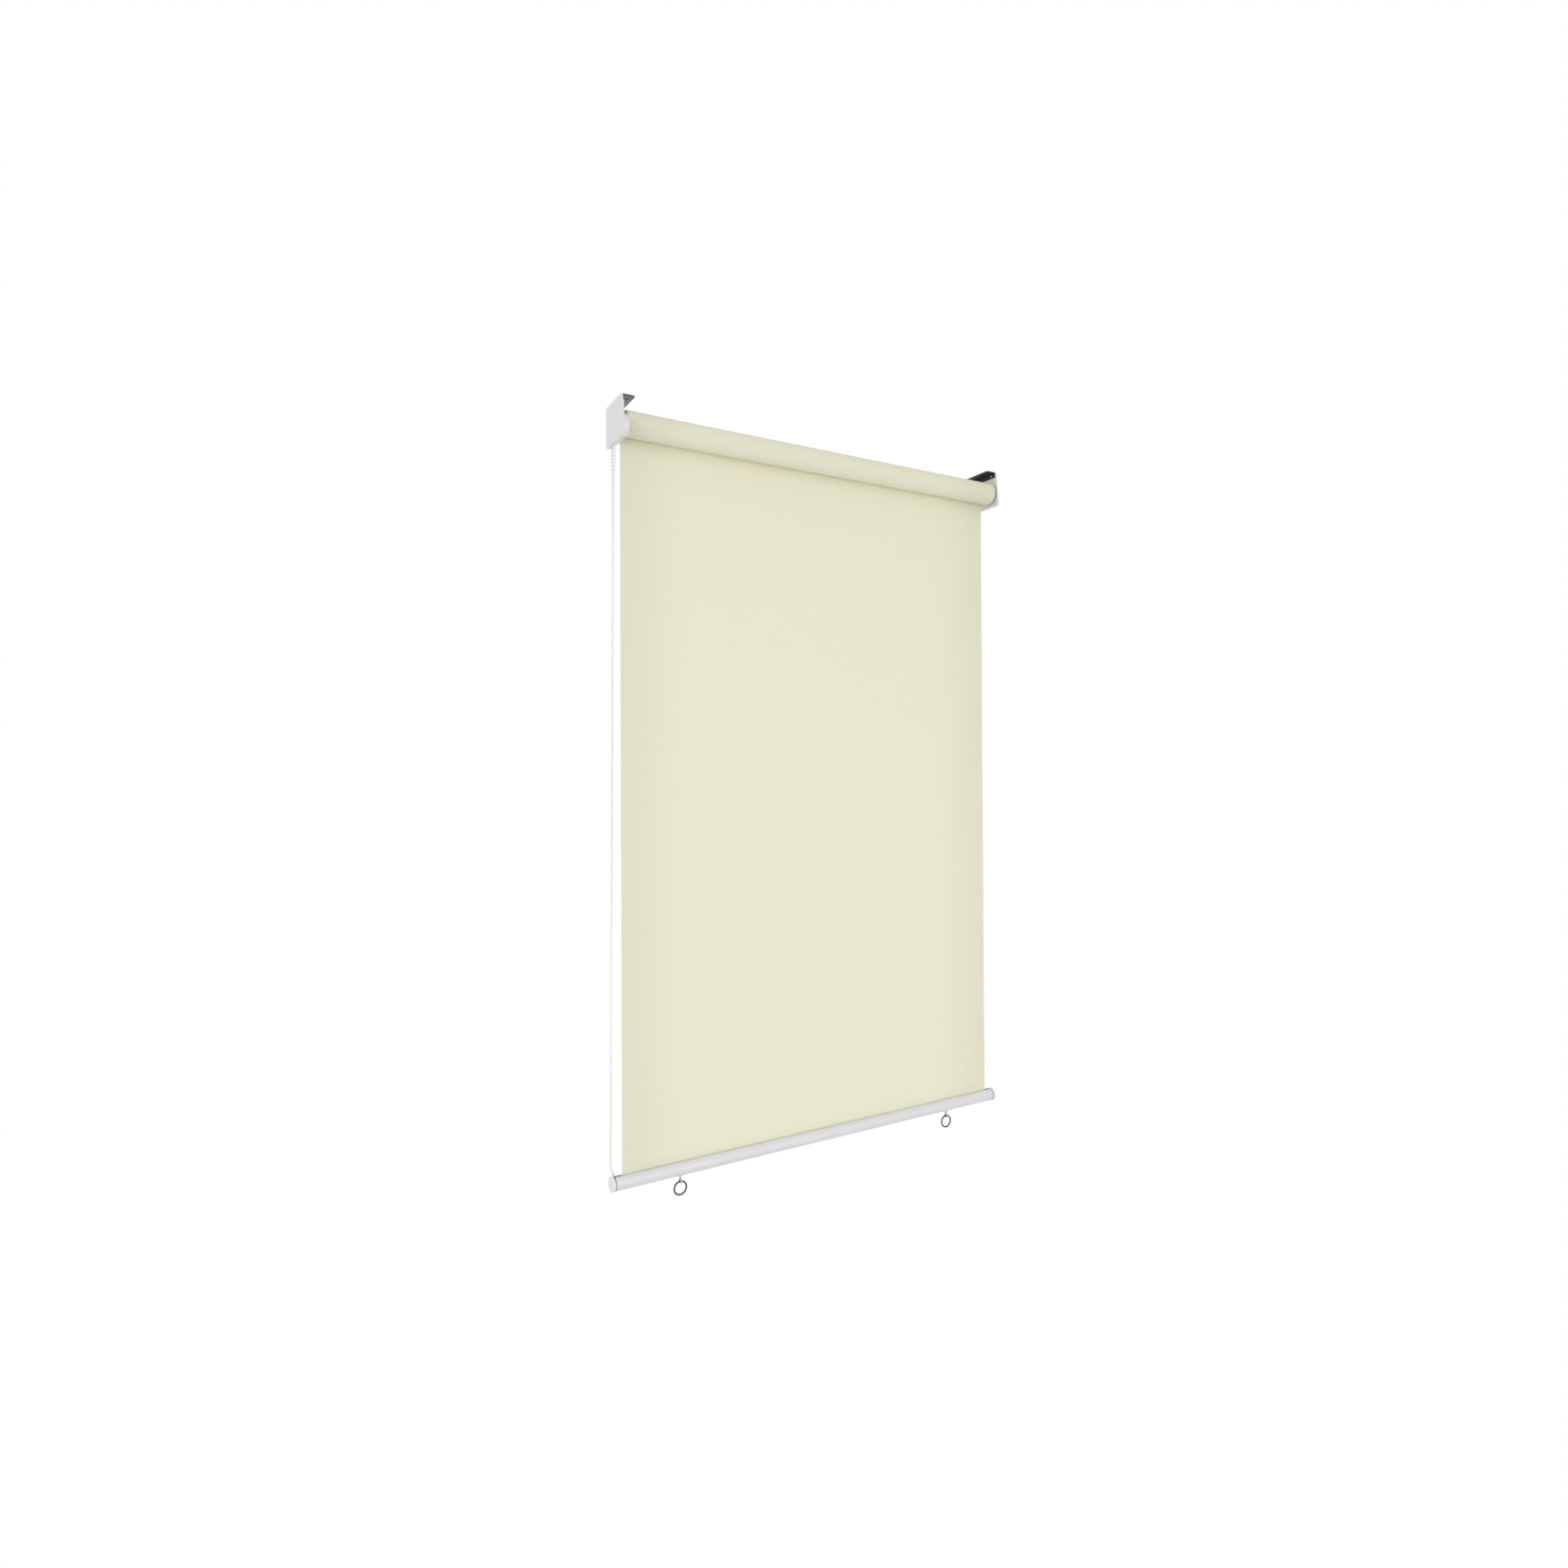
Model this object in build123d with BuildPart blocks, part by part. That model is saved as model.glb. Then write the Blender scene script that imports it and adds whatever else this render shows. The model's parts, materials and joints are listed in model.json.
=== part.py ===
from build123d import *
import os
from math import pi, sin, tan, radians

# An outdoor roller blind: two moulded housings hang from steel angles under a ceiling or lintel,
# a tube turns between them on a chain clutch and a sprung idle pin, and the fabric falls from the
# back of the roll to a round bottom bar with two tie-down rings.
# X runs along the roller, +Y points at the wall and +Z is up. The origin is the middle of the four
# fixing holes, on the angles' top faces.

os.makedirs("parts", exist_ok=True)

# Fabric
fabric_width = 800.0
fabric_thickness = 0.55
roll_turns = 3
turn_gap = 0.25
turn_seat = 0.05

# Roller axis, and the drop from it to the bottom bar's axis
axis_depth = 44.0
axis_ahead = 18.0
bar_drop = 1263.0

# Roller tube
tube_radius = 19.0
tube_wall = 1.2
key_width = 2.4
key_height = 1.6

# Clearances
running_gap = 0.05
plug_gap = 0.1
side_gap = 0.4
post_gap = 0.15
overrun = 1.0

# Bead chain and its wheel
bead_diameter = 4.5
bead_pitch = 6.0
wheel_pockets = 12
wheel_groove = 5.0
wheel_cheek = 0.6
cheek_rise = 1.2
ridge_drop = 0.9
pocket_gap = 0.15
sleeve_radius = 10.0
sleeve_length = 12.0

# Clutch core and its brake spring
core_radius = 8.0
core_reach = 32.0
peg_side = 9.0
peg_depth = 2.0
spring_gap = 0.3
spring_wire = 1.3
spring_cavity = 14.0
cavity_radius = 11.0
tang_length = 0.9
tang_width = 1.2

# Plugs in the tube's ends
plug_length = 34.0
plug_flange = 1.2
plug_flange_radius = 21.0
plug_chamfer = 1.2

# Idle pin
pin_radius = 4.0
pin_tail_radius = 3.0
pin_travel = 8.0
pin_collar_radius = 6.2
pin_collar_width = 2.0
pin_nose = 5.6
pin_chamfer = 0.8
pin_tail_gap = 5.4
idle_wall = 6.0
idle_end_wall = 2.0
idle_cavity_radius = 6.6
collar_gap = 0.3
idle_spring_wire = 1.8
idle_spring_gap = 0.4

# Housings
housing_wall = 3.2
housing_front_top = 16.0
housing_front_low = 23.0
housing_low = 27.0
wall_reach = 60.0
housing_corner = 5.0
housing_back_corner = 8.0
housing_edge = 1.0
rim_width = 2.0
rim_height = 1.0
socket_radius = 9.0
nose_radius = 17.0
nose_ahead = 13.5
nose_drop = 10.0
guard_rise = 8.0
guard_back = 30.0

# Chain guide posts, placed from the roller axis
post_bend = 9.0
post_cheek = 0.6
post_cheek_radius = 8.0
low_post_back = 28.2
low_post_up = -16.0
high_post_back = 41.2
high_post_up = 2.5

# Steel angles and their screws
angle_leg = 22.0
angle_drop = 11.0
angle_gauge = 2.0
angle_bend = 1.5
angle_front = 14.0
angle_back = 54.0
angle_corner = 3.0
fixing_row = 36.0
fixing_hole_radius = 2.6
screw_radius = 1.5
screw_head_radius = 2.8
screw_head = 1.3
screw_head_taper = 20.0
screw_bite = 2.4
screw_gap = 0.02
screw_front = 5.0
screw_back = 45.0

# Bottom bar
bar_radius = 11.8
bar_wall = 1.4
bar_overhang = 13.0
bar_lip = 1.4
channel_wall = 1.2
channel_gap = 0.3
slot_gap = 1.5
boss_width = 7.0
boss_height = 6.0
rod_radius = 2.4
rod_setback = 2.0

# End caps
cap_radius = 12.6
cap_flange = 4.6
cap_neck = 2.4
cap_neck_inset = 3.0
cap_plug = 14.0
cap_gap = 0.1
cap_edge = 1.2

# Ring tabs and rings
ring_inset = 118.0
ring_radius = 11.4
ring_wire_radius = 1.4
ring_wire_sides = 12
tab_gauge = 2.0
tab_reach = 9.8
tab_hole_radius = 2.4
tab_rim = 2.0
tab_seat = 0.1
tab_collar = 1.2
stud_radius = 1.5
stud_length = 5.0
stud_gap = 0.02

# Worked out from the sizes above
half_width = fabric_width / 2
roller_y = -axis_ahead
roller_z = -axis_depth
turn_pitch = fabric_thickness + turn_gap
sheet_inner = tube_radius + turn_seat + roll_turns * turn_pitch
sheet_y = roller_y + sheet_inner
tube_bore = tube_radius - tube_wall
plug_radius = tube_bore - plug_gap
wheel_inner = half_width + plug_flange
wheel_outer = wheel_inner + wheel_groove + 2 * wheel_cheek
housing_inner = wheel_outer + side_gap
housing_outer = housing_inner + housing_wall
bead_radius = bead_diameter / 2
wheel_pitch_radius = bead_pitch / (2 * sin(pi / wheel_pockets))
bar_y = sheet_y + fabric_thickness / 2
bar_z = roller_z - bar_drop
hem_radius = rod_radius + fabric_thickness
channel_radius = hem_radius + channel_gap
channel_z = bar_z + bar_radius - bar_lip - channel_radius
slot_width = 2 * (fabric_thickness + slot_gap)
bar_top = bar_z + bar_radius
bar_bottom = bar_z - bar_radius
bar_end = half_width + bar_overhang
ring_place = bar_end - ring_inset
tab_hole_z = bar_bottom - tab_reach
ring_hinge_z = tab_hole_z - tab_hole_radius + ring_wire_radius + running_gap
plug_end = half_width - plug_length
screw_rise = axis_depth - (angle_gauge + angle_drop) / 2
screw_places = [(-screw_front, screw_rise), (screw_back, screw_rise)]
angle_corner_point = (-housing_inner, roller_y - angle_front, 0)


def finish(piece, name):
    piece.part.label = name
    export_step(piece.part, f"parts/{name}.step")


def roller_plane(x):
    """A plane across the roller at x, with its origin on the roller axis."""
    return Plane(origin=(x, roller_y, roller_z), x_dir=(0, 1, 0), z_dir=(1, 0, 0))


def bar_plane(x):
    """A plane across the bottom bar at x, with its origin on the bar's axis."""
    return Plane(origin=(x, bar_y, bar_z), x_dir=(0, 1, 0), z_dir=(1, 0, 0))


# Half of a section through the roller axis: x along the roller, y out from the axis
axis_section = Plane(origin=(0, roller_y, roller_z), x_dir=(1, 0, 0), z_dir=(0, -1, 0))
roller_axis = Axis((0, roller_y, roller_z), (1, 0, 0))


# Roller tube, with two keys inside that turn the plugs
with BuildPart() as roller_tube:
    with BuildSketch(roller_plane(-half_width)):
        Circle(tube_radius)
        Circle(tube_bore, mode=Mode.SUBTRACT)
        for side in (1, -1):
            with Locations((0, side * (tube_bore - key_height / 2 + plug_gap))):
                Rectangle(key_width, key_height + 2 * plug_gap)
    extrude(amount=fabric_width)
finish(roller_tube, "roller_tube")


# Fabric roll: the turns left on the tube, as half circles that grow by half a pitch each
with BuildPart() as fabric_roll:
    half_turns = 2 * roll_turns
    with BuildSketch(roller_plane(-half_width)):
        with BuildLine():
            for end_radius in (sheet_inner, sheet_inner + fabric_thickness):
                for step in range(half_turns):
                    outer = end_radius - step * turn_pitch / 2
                    inner = outer - turn_pitch / 2
                    way = 1 if step % 2 == 0 else -1
                    middle = (way * (outer - inner) / 2, way * (outer + inner) / 2)
                    ThreePointArc((-way * inner, 0), middle, (way * outer, 0))
            Line((sheet_inner, 0), (sheet_inner + fabric_thickness, 0))
            first = tube_radius + turn_seat
            Line((first, 0), (first + fabric_thickness, 0))
        make_face()
    extrude(amount=fabric_width)
finish(fabric_roll, "fabric_roll")


# Fabric sheet, from the back of the roll to the bar's slot
with BuildPart() as fabric_sheet:
    with BuildSketch(Plane.XY.offset(bar_top)):
        with Locations((0, bar_y)):
            Rectangle(fabric_width, fabric_thickness)
    extrude(amount=roller_z - bar_top)
finish(fabric_sheet, "fabric_sheet")


# Hem: the fabric goes round the rod in the bar's channel and comes up double through the slot
with BuildPart() as fabric_hem:
    with BuildSketch(bar_plane(-half_width)):
        with Locations((0, channel_z - bar_z)):
            Circle(hem_radius)
        with Locations((0, (channel_z - bar_z + bar_radius) / 2)):
            Rectangle(2 * fabric_thickness, bar_top - channel_z)
        with Locations((0, channel_z - bar_z)):
            Circle(rod_radius, mode=Mode.SUBTRACT)
    extrude(amount=fabric_width)
finish(fabric_hem, "fabric_hem")

with BuildPart() as hem_rod:
    with BuildSketch(bar_plane(-half_width + rod_setback)):
        with Locations((0, channel_z - bar_z)):
            Circle(rod_radius - running_gap)
    extrude(amount=fabric_width - 2 * rod_setback)
finish(hem_rod, "hem_rod")


# Chain wheel: cheeks, a groove with a scalloped pocket for each bead, and a sleeve into the plug
with BuildPart() as chain_wheel:
    cheek_radius = wheel_pitch_radius + cheek_rise
    ridge_radius = wheel_pitch_radius - ridge_drop
    wheel_bore = core_radius + running_gap
    with BuildSketch(axis_section):
        with BuildLine():
            Polyline(
                (-wheel_outer, wheel_bore),
                (-wheel_outer, cheek_radius),
                (-wheel_outer + wheel_cheek, cheek_radius),
                (-wheel_outer + wheel_cheek, ridge_radius),
                (-wheel_inner - wheel_cheek, ridge_radius),
                (-wheel_inner - wheel_cheek, cheek_radius),
                (-wheel_inner, cheek_radius),
                (-wheel_inner, sleeve_radius),
                (-wheel_inner + sleeve_length, sleeve_radius),
                (-wheel_inner + sleeve_length, wheel_bore),
                close=True,
            )
        make_face()
    revolve(axis=roller_axis)
    with BuildSketch(roller_plane(-wheel_outer + wheel_cheek)):
        with PolarLocations(wheel_pitch_radius, wheel_pockets):
            Circle(bead_radius + pocket_gap)
    extrude(amount=wheel_groove, mode=Mode.SUBTRACT)
finish(chain_wheel, "chain_wheel")


# Clutch core: the fixed spindle, keyed into the left housing by a square peg
with BuildPart() as clutch_core:
    core_end = half_width - core_reach
    with BuildSketch(roller_plane(-housing_inner)):
        Circle(core_radius)
    extrude(amount=housing_inner - core_end)
    chamfer(clutch_core.faces().sort_by(Axis.X)[-1].edges(), length=plug_chamfer)
    with BuildSketch(roller_plane(-housing_inner)):
        Rectangle(peg_side, peg_side)
    extrude(amount=-peg_depth)
finish(clutch_core, "clutch_core")


def tube_plug(side, bores):
    """A plug in one end of the tube, bored by (start, end, radius) stretches of x."""
    with BuildPart() as plug:
        with BuildSketch(roller_plane(side * half_width)):
            Circle(plug_flange_radius)
        extrude(amount=side * plug_flange)
        with BuildSketch(roller_plane(side * half_width)):
            Circle(plug_radius)
            for way in (1, -1):
                with Locations((0, way * (tube_bore - key_height / 2))):
                    Rectangle(key_width + 2 * plug_gap, key_height + 2 * plug_gap, mode=Mode.SUBTRACT)
        extrude(amount=-side * plug_length)
        for start, end, radius in bores:
            with BuildSketch(roller_plane(side * start)):
                Circle(radius)
            extrude(amount=side * (end - start), mode=Mode.SUBTRACT)
    return plug


# Drive plug: the wheel's sleeve turns it, and its inner end runs on the clutch core
sleeve_end = wheel_inner - sleeve_length
cavity_end = sleeve_end - spring_cavity
drive_plug = tube_plug(
    -1,
    [
        (sleeve_end, wheel_inner + overrun, sleeve_radius + plug_gap),
        (cavity_end, sleeve_end, cavity_radius),
        (plug_end - overrun, cavity_end, core_radius + running_gap),
    ],
)
finish(drive_plug, "drive_plug")


# Brake spring: close-wound wire on the clutch core, with a tang at one end
with BuildPart() as brake_spring:
    spring_inner = core_radius + spring_gap
    spring_outer = spring_inner + spring_wire
    spring_length = spring_cavity - 2 * side_gap
    with BuildSketch(roller_plane(-sleeve_end + side_gap)):
        Circle(spring_outer)
        Circle(spring_inner, mode=Mode.SUBTRACT)
    extrude(amount=spring_length)
    with BuildSketch(roller_plane(-sleeve_end + side_gap)):
        with Locations((0, spring_outer)):
            Rectangle(tang_width, 2 * tang_length)
    extrude(amount=tang_width)
finish(brake_spring, "brake_spring")


# Idle plug: a stepped bore for the sprung pin, closed at its inner end
idle_wall_end = half_width + plug_flange - idle_wall
idle_cavity_end = plug_end + idle_end_wall
idle_plug = tube_plug(
    1,
    [
        (idle_wall_end, half_width + plug_flange + overrun, pin_radius + running_gap),
        (idle_cavity_end, idle_wall_end, idle_cavity_radius),
    ],
)
finish(idle_plug, "idle_plug")


# Idle pin: its nose sits in the right housing's socket, its collar stops it inside the plug
with BuildPart() as idle_pin:
    collar_face = idle_wall_end - collar_gap
    collar_back = collar_face - pin_collar_width
    tail_end = idle_cavity_end + pin_travel + pin_tail_gap
    pin_tip = half_width + plug_flange + side_gap + pin_nose
    with BuildSketch(axis_section):
        with BuildLine():
            Polyline(
                (tail_end, 0),
                (tail_end, pin_tail_radius),
                (collar_back, pin_tail_radius),
                (collar_back, pin_collar_radius),
                (collar_face, pin_collar_radius),
                (collar_face, pin_radius),
                (pin_tip - pin_chamfer, pin_radius),
                (pin_tip, pin_radius - pin_chamfer),
                (pin_tip, 0),
                close=True,
            )
        make_face()
    revolve(axis=roller_axis)
finish(idle_pin, "idle_pin")


# Idle spring, between the pin's collar and the plug's end wall
with BuildPart() as idle_spring:
    idle_spring_inner = pin_tail_radius + idle_spring_gap
    with BuildSketch(roller_plane(idle_cavity_end)):
        Circle(idle_spring_inner + idle_spring_wire)
        Circle(idle_spring_inner, mode=Mode.SUBTRACT)
    extrude(amount=collar_back - idle_cavity_end)
finish(idle_spring, "idle_spring")


# Outline of a housing, from the roller axis: flat top and back, front edge leaning outwards
housing_outline = [
    (-housing_front_top, axis_depth),
    (-housing_front_low, -housing_low),
    (wall_reach, -housing_low),
    (wall_reach, axis_depth),
]


def housing_face(side, inset):
    """The housing's outline on its inner face, shrunk by inset. The chain side has a round nose in front."""
    with BuildSketch(roller_plane(side * housing_inner)) as face:
        with BuildLine():
            Polyline(*housing_outline, close=True)
        make_face()
        corners = face.vertices().sort_by(Axis.X)
        fillet(corners[:2] + corners[2:].sort_by(Axis.Y)[:1], radius=housing_corner)
        back_corner = face.vertices().group_by(Axis.Y)[-1].sort_by(Axis.X)[-1]
        fillet(back_corner, radius=housing_back_corner)
        if side < 0:
            with Locations((-nose_ahead, -nose_drop)):
                Circle(nose_radius)
        if inset:
            offset(amount=-inset, mode=Mode.REPLACE)
    return face.sketch


def housing_shell(side):
    """A moulded end bracket: an outer wall, and a rim round its inner face below the angle."""
    outline = housing_face(side, 0)
    inside = housing_face(side, rim_width)
    with BuildPart() as shell:
        extrude(outline, amount=-side * rim_height)
        extrude(inside, amount=-side * rim_height, mode=Mode.SUBTRACT)
        with BuildSketch(roller_plane(side * housing_inner)):
            with Locations((0, axis_depth)):
                Rectangle(4 * wall_reach, 2 * (angle_drop + side_gap))
        extrude(amount=-side * rim_height, mode=Mode.SUBTRACT)
        extrude(outline, amount=side * housing_wall)
        outer_face = shell.faces().sort_by(Axis.X)[-1 if side > 0 else 0]
        fillet(outer_face.edges(), radius=housing_edge)
        with BuildSketch(roller_plane(side * housing_inner)):
            with Locations(*screw_places):
                Circle(screw_radius + screw_gap)
        extrude(amount=side * (screw_bite + running_gap), mode=Mode.SUBTRACT)
    return shell


# Chain guard: round the nose and along the foot, the rim stands as high as the wheel
with BuildPart() as chain_guard:
    guard_height = housing_inner - wheel_inner - side_gap
    extrude(housing_face(-1, 0), amount=guard_height)
    extrude(housing_face(-1, rim_width), amount=guard_height, mode=Mode.SUBTRACT)
    with BuildSketch(roller_plane(-housing_inner)):
        with Locations((guard_back, guard_rise)):
            Rectangle(4 * wall_reach, 4 * wall_reach, align=(Align.MAX, Align.MAX))
    extrude(amount=guard_height, mode=Mode.INTERSECT)


# Left housing: the guard, the peg's pocket and the two posts that lead the chain to the back
left_shell = housing_shell(-1)
with BuildPart() as housing_left:
    add(left_shell.part)
    add(chain_guard.part)
    with BuildSketch(roller_plane(-housing_inner)):
        Rectangle(peg_side + 2 * plug_gap, peg_side + 2 * plug_gap)
    extrude(amount=-peg_depth - running_gap, mode=Mode.SUBTRACT)
    post_places = [(low_post_back, low_post_up), (high_post_back, high_post_up)]
    post_radius = post_bend - bead_radius - post_gap
    with BuildSketch(roller_plane(-housing_inner)):
        with Locations(*post_places):
            Circle(post_radius)
    extrude(amount=housing_inner - wheel_inner)
    with BuildSketch(roller_plane(-wheel_inner)):
        with Locations(*post_places):
            Circle(post_cheek_radius)
    extrude(amount=-post_cheek)
finish(housing_left, "housing_left")


# Right housing: a socket boss for the idle pin
right_shell = housing_shell(1)
with BuildPart() as housing_right:
    add(right_shell.part)
    socket_face = half_width + plug_flange + side_gap
    with BuildSketch(roller_plane(socket_face)):
        Circle(socket_radius)
        Circle(pin_radius + running_gap, mode=Mode.SUBTRACT)
    extrude(amount=housing_inner - socket_face)
finish(housing_right, "housing_right")


# Steel angles along the housings' tops, with the fixing holes and the screws' holes
with BuildPart() as angle_left:
    with BuildSketch(Plane(angle_corner_point, x_dir=(1, 0, 0), z_dir=(0, -1, 0))) as profile:
        with BuildLine():
            Polyline(
                (0, 0),
                (angle_leg, 0),
                (angle_leg, -angle_gauge),
                (angle_gauge, -angle_gauge),
                (angle_gauge, -angle_drop),
                (0, -angle_drop),
                close=True,
            )
        make_face()
        bend_point = Vector(*angle_corner_point) + Vector(angle_gauge, 0, -angle_gauge)
        fillet(profile.vertices().sort_by_distance(bend_point)[0], radius=angle_bend)
    extrude(amount=-(angle_front + angle_back))
    free_corners = angle_left.edges().filter_by(Axis.Z).group_by(Axis.X)[-1]
    fillet(free_corners, radius=angle_corner)
    fixing_x = -housing_inner + (angle_leg + angle_gauge) / 2
    with Locations((fixing_x, fixing_row / 2), (fixing_x, -fixing_row / 2)):
        Hole(radius=fixing_hole_radius)
    with BuildSketch(roller_plane(-housing_inner)):
        with Locations(*screw_places):
            Circle(screw_radius + running_gap)
    extrude(amount=angle_gauge, mode=Mode.SUBTRACT)
finish(angle_left, "angle_left")

with BuildPart() as angle_right:
    mirror(angle_left.part, about=Plane.YZ)
finish(angle_right, "angle_right")


# Angle screws: a round head on each leg, and a shank into the housing's wall
with BuildPart() as angle_screws:
    for side in (-1, 1):
        head_seat = roller_plane(side * (housing_inner - angle_gauge))
        with BuildSketch(head_seat):
            with Locations(*screw_places):
                Circle(screw_head_radius)
        extrude(amount=-side * screw_head, taper=screw_head_taper)
        with BuildSketch(head_seat):
            with Locations(*screw_places):
                Circle(screw_radius)
        extrude(amount=side * (angle_gauge + screw_bite))
finish(angle_screws, "angle_screws")


# Bead chain: a plain tube along the chain's route, from the wheel over the low post, down round
# the loose end and up over the high post to the wheel again
chain_route = [
    (-404.3, -4.8, -53.5),
    (-404.3, 19.2, -49.3),
    (-404.4, 19.2, -88.0),
    (-407.3, 19.4, -200.0),
    (-411.0, 20.0, -780.0),
    (-414.4, 20.6, -1230.0),
    (-414.2, 21.6, -1290.0),
    (-406.6, 23.0, -1304.6),
    (-401.0, 23.3, -1313.1),
    (-399.6, 28.0, -1315.4),
    (-401.0, 32.7, -1313.1),
    (-404.2, 33.0, -1308.4),
    (-410.3, 32.8, -1294.0),
    (-410.3, 32.4, -1236.0),
    (-406.9, 32.2, -784.0),
    (-403.0, 32.2, -200.0),
    (-404.3, 32.2, -32.5),
    (-404.3, -5.0, -32.4),
]
bend_share = 0.45
post_corners = (1, len(chain_route) - 2)
chain_points = [Vector(*point) for point in chain_route]
chain_radii = []
for corner in range(1, len(chain_points) - 1):
    run_in = chain_points[corner] - chain_points[corner - 1]
    run_out = chain_points[corner + 1] - chain_points[corner]
    half_turn = radians(run_in.get_angle(run_out)) / 2
    widest = bend_share * min(run_in.length, run_out.length) / tan(half_turn)
    chain_radii.append(post_bend if corner in post_corners else widest)

with BuildPart() as bead_chain:
    with BuildLine() as chain_line:
        FilletPolyline(*chain_points, radius=chain_radii)
    chain_length = chain_line.wire().length
    with BuildSketch(Plane(chain_line.wire() @ 0, z_dir=chain_line.wire() % 0)):
        Circle(bead_radius)
    sweep()
finish(bead_chain, "bead_chain")
print("chain radii", [round(radius, 1) for radius in chain_radii])
print("chain length", round(chain_length, 1))
print("chain volume share", round(bead_chain.part.volume / (pi * bead_radius**2 * chain_length), 4))


# Bottom bar: a round extrusion with the hem's channel at its top and a screw boss at its foot
with BuildPart() as bottom_bar:
    channel_rise = channel_z - bar_z
    with BuildSketch(bar_plane(-bar_end)):
        Circle(bar_radius)
        Circle(bar_radius - bar_wall, mode=Mode.SUBTRACT)
        with Locations((0, channel_rise)):
            Circle(channel_radius + channel_wall)
        with Locations((0, -bar_radius + bar_wall / 2)):
            Rectangle(boss_width, boss_height, align=(Align.CENTER, Align.MIN))
        with Locations((0, channel_rise)):
            Circle(channel_radius, mode=Mode.SUBTRACT)
            Rectangle(slot_width, bar_radius, align=(Align.CENTER, Align.MIN), mode=Mode.SUBTRACT)
    extrude(amount=2 * bar_end)
    with Locations(*[(side * ring_place, bar_y, bar_bottom) for side in (-1, 1)]):
        Cylinder(
            radius=stud_radius + stud_gap,
            height=stud_length + stud_gap,
            align=(Align.CENTER, Align.CENTER, Align.MIN),
            mode=Mode.SUBTRACT,
        )
finish(bottom_bar, "bottom_bar")


# End caps: a plug inside the bar, a narrow neck and a round flange
with BuildPart() as end_cap_left:
    with BuildSketch(bar_plane(-bar_end)):
        Circle(bar_radius - bar_wall - cap_gap)
        with Locations((0, channel_rise)):
            Circle(channel_radius + channel_wall + cap_gap, mode=Mode.SUBTRACT)
        with Locations((0, -bar_radius)):
            Rectangle(
                boss_width + 2 * cap_gap,
                bar_wall / 2 + boss_height + cap_gap,
                align=(Align.CENTER, Align.MIN),
                mode=Mode.SUBTRACT,
            )
    extrude(amount=cap_plug)
    with BuildSketch(bar_plane(-bar_end)):
        Circle(bar_radius - cap_neck_inset)
    extrude(amount=-cap_neck)
    with BuildSketch(bar_plane(-bar_end - cap_neck)):
        Circle(cap_radius)
    extrude(amount=-cap_flange)
    fillet(end_cap_left.faces().sort_by(Axis.X)[0].edges(), radius=cap_edge)
finish(end_cap_left, "end_cap_left")

with BuildPart() as end_cap_right:
    mirror(end_cap_left.part, about=Plane.YZ)
finish(end_cap_right, "end_cap_right")


def ring_tab(x):
    """A flat tab with a hole for the ring, on a stud that screws into the bar's boss."""
    with BuildPart() as tab:
        with BuildSketch(Plane(origin=(x - tab_gauge / 2, bar_y, 0), x_dir=(0, 1, 0), z_dir=(1, 0, 0))):
            tab_radius = tab_hole_radius + tab_rim
            with Locations((0, tab_hole_z)):
                Circle(tab_radius)
            with Locations((0, tab_hole_z)):
                Rectangle(
                    2 * tab_rim,
                    tab_reach - tab_seat,
                    align=(Align.CENTER, Align.MIN),
                )
            with Locations((0, tab_hole_z)):
                Circle(tab_hole_radius, mode=Mode.SUBTRACT)
        extrude(amount=tab_gauge)
        with Locations((x, bar_y, bar_bottom - tab_seat)):
            Cylinder(
                radius=2 * stud_radius,
                height=tab_collar,
                align=(Align.CENTER, Align.CENTER, Align.MAX),
            )
            Cylinder(
                radius=stud_radius,
                height=stud_length,
                align=(Align.CENTER, Align.CENTER, Align.MIN),
            )
    return tab


def wire_ring(x):
    """A round ring that hangs in its tab's hole, facing along Y."""
    ring_z = ring_hinge_z - ring_radius
    with BuildPart() as ring:
        with BuildSketch(Plane(origin=(x, bar_y, ring_z), x_dir=(1, 0, 0), z_dir=(0, 0, 1))):
            with Locations((ring_radius, 0)):
                RegularPolygon(ring_wire_radius, ring_wire_sides)
        revolve(axis=Axis((x, bar_y, ring_z), (0, 1, 0)))
    return ring


for side, word in ((-1, "left"), (1, "right")):
    finish(ring_tab(side * ring_place), f"ring_tab_{word}")
    finish(wire_ring(side * ring_place), f"ring_{word}")
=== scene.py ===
"""Outdoor roller blind, dressed for the studio.

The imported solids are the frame. This add-on hangs the woven cloth, winds the roll, folds the hem,
strings the bead chain, bends the tie-down rings, coils the springs, gives every solid its finish and
sets the studio stage.
"""

import json
import math

import bmesh
import bpy
from bpy.props import FloatProperty, FloatVectorProperty, IntProperty, PointerProperty
from mathutils import Matrix, Vector, noise


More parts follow.
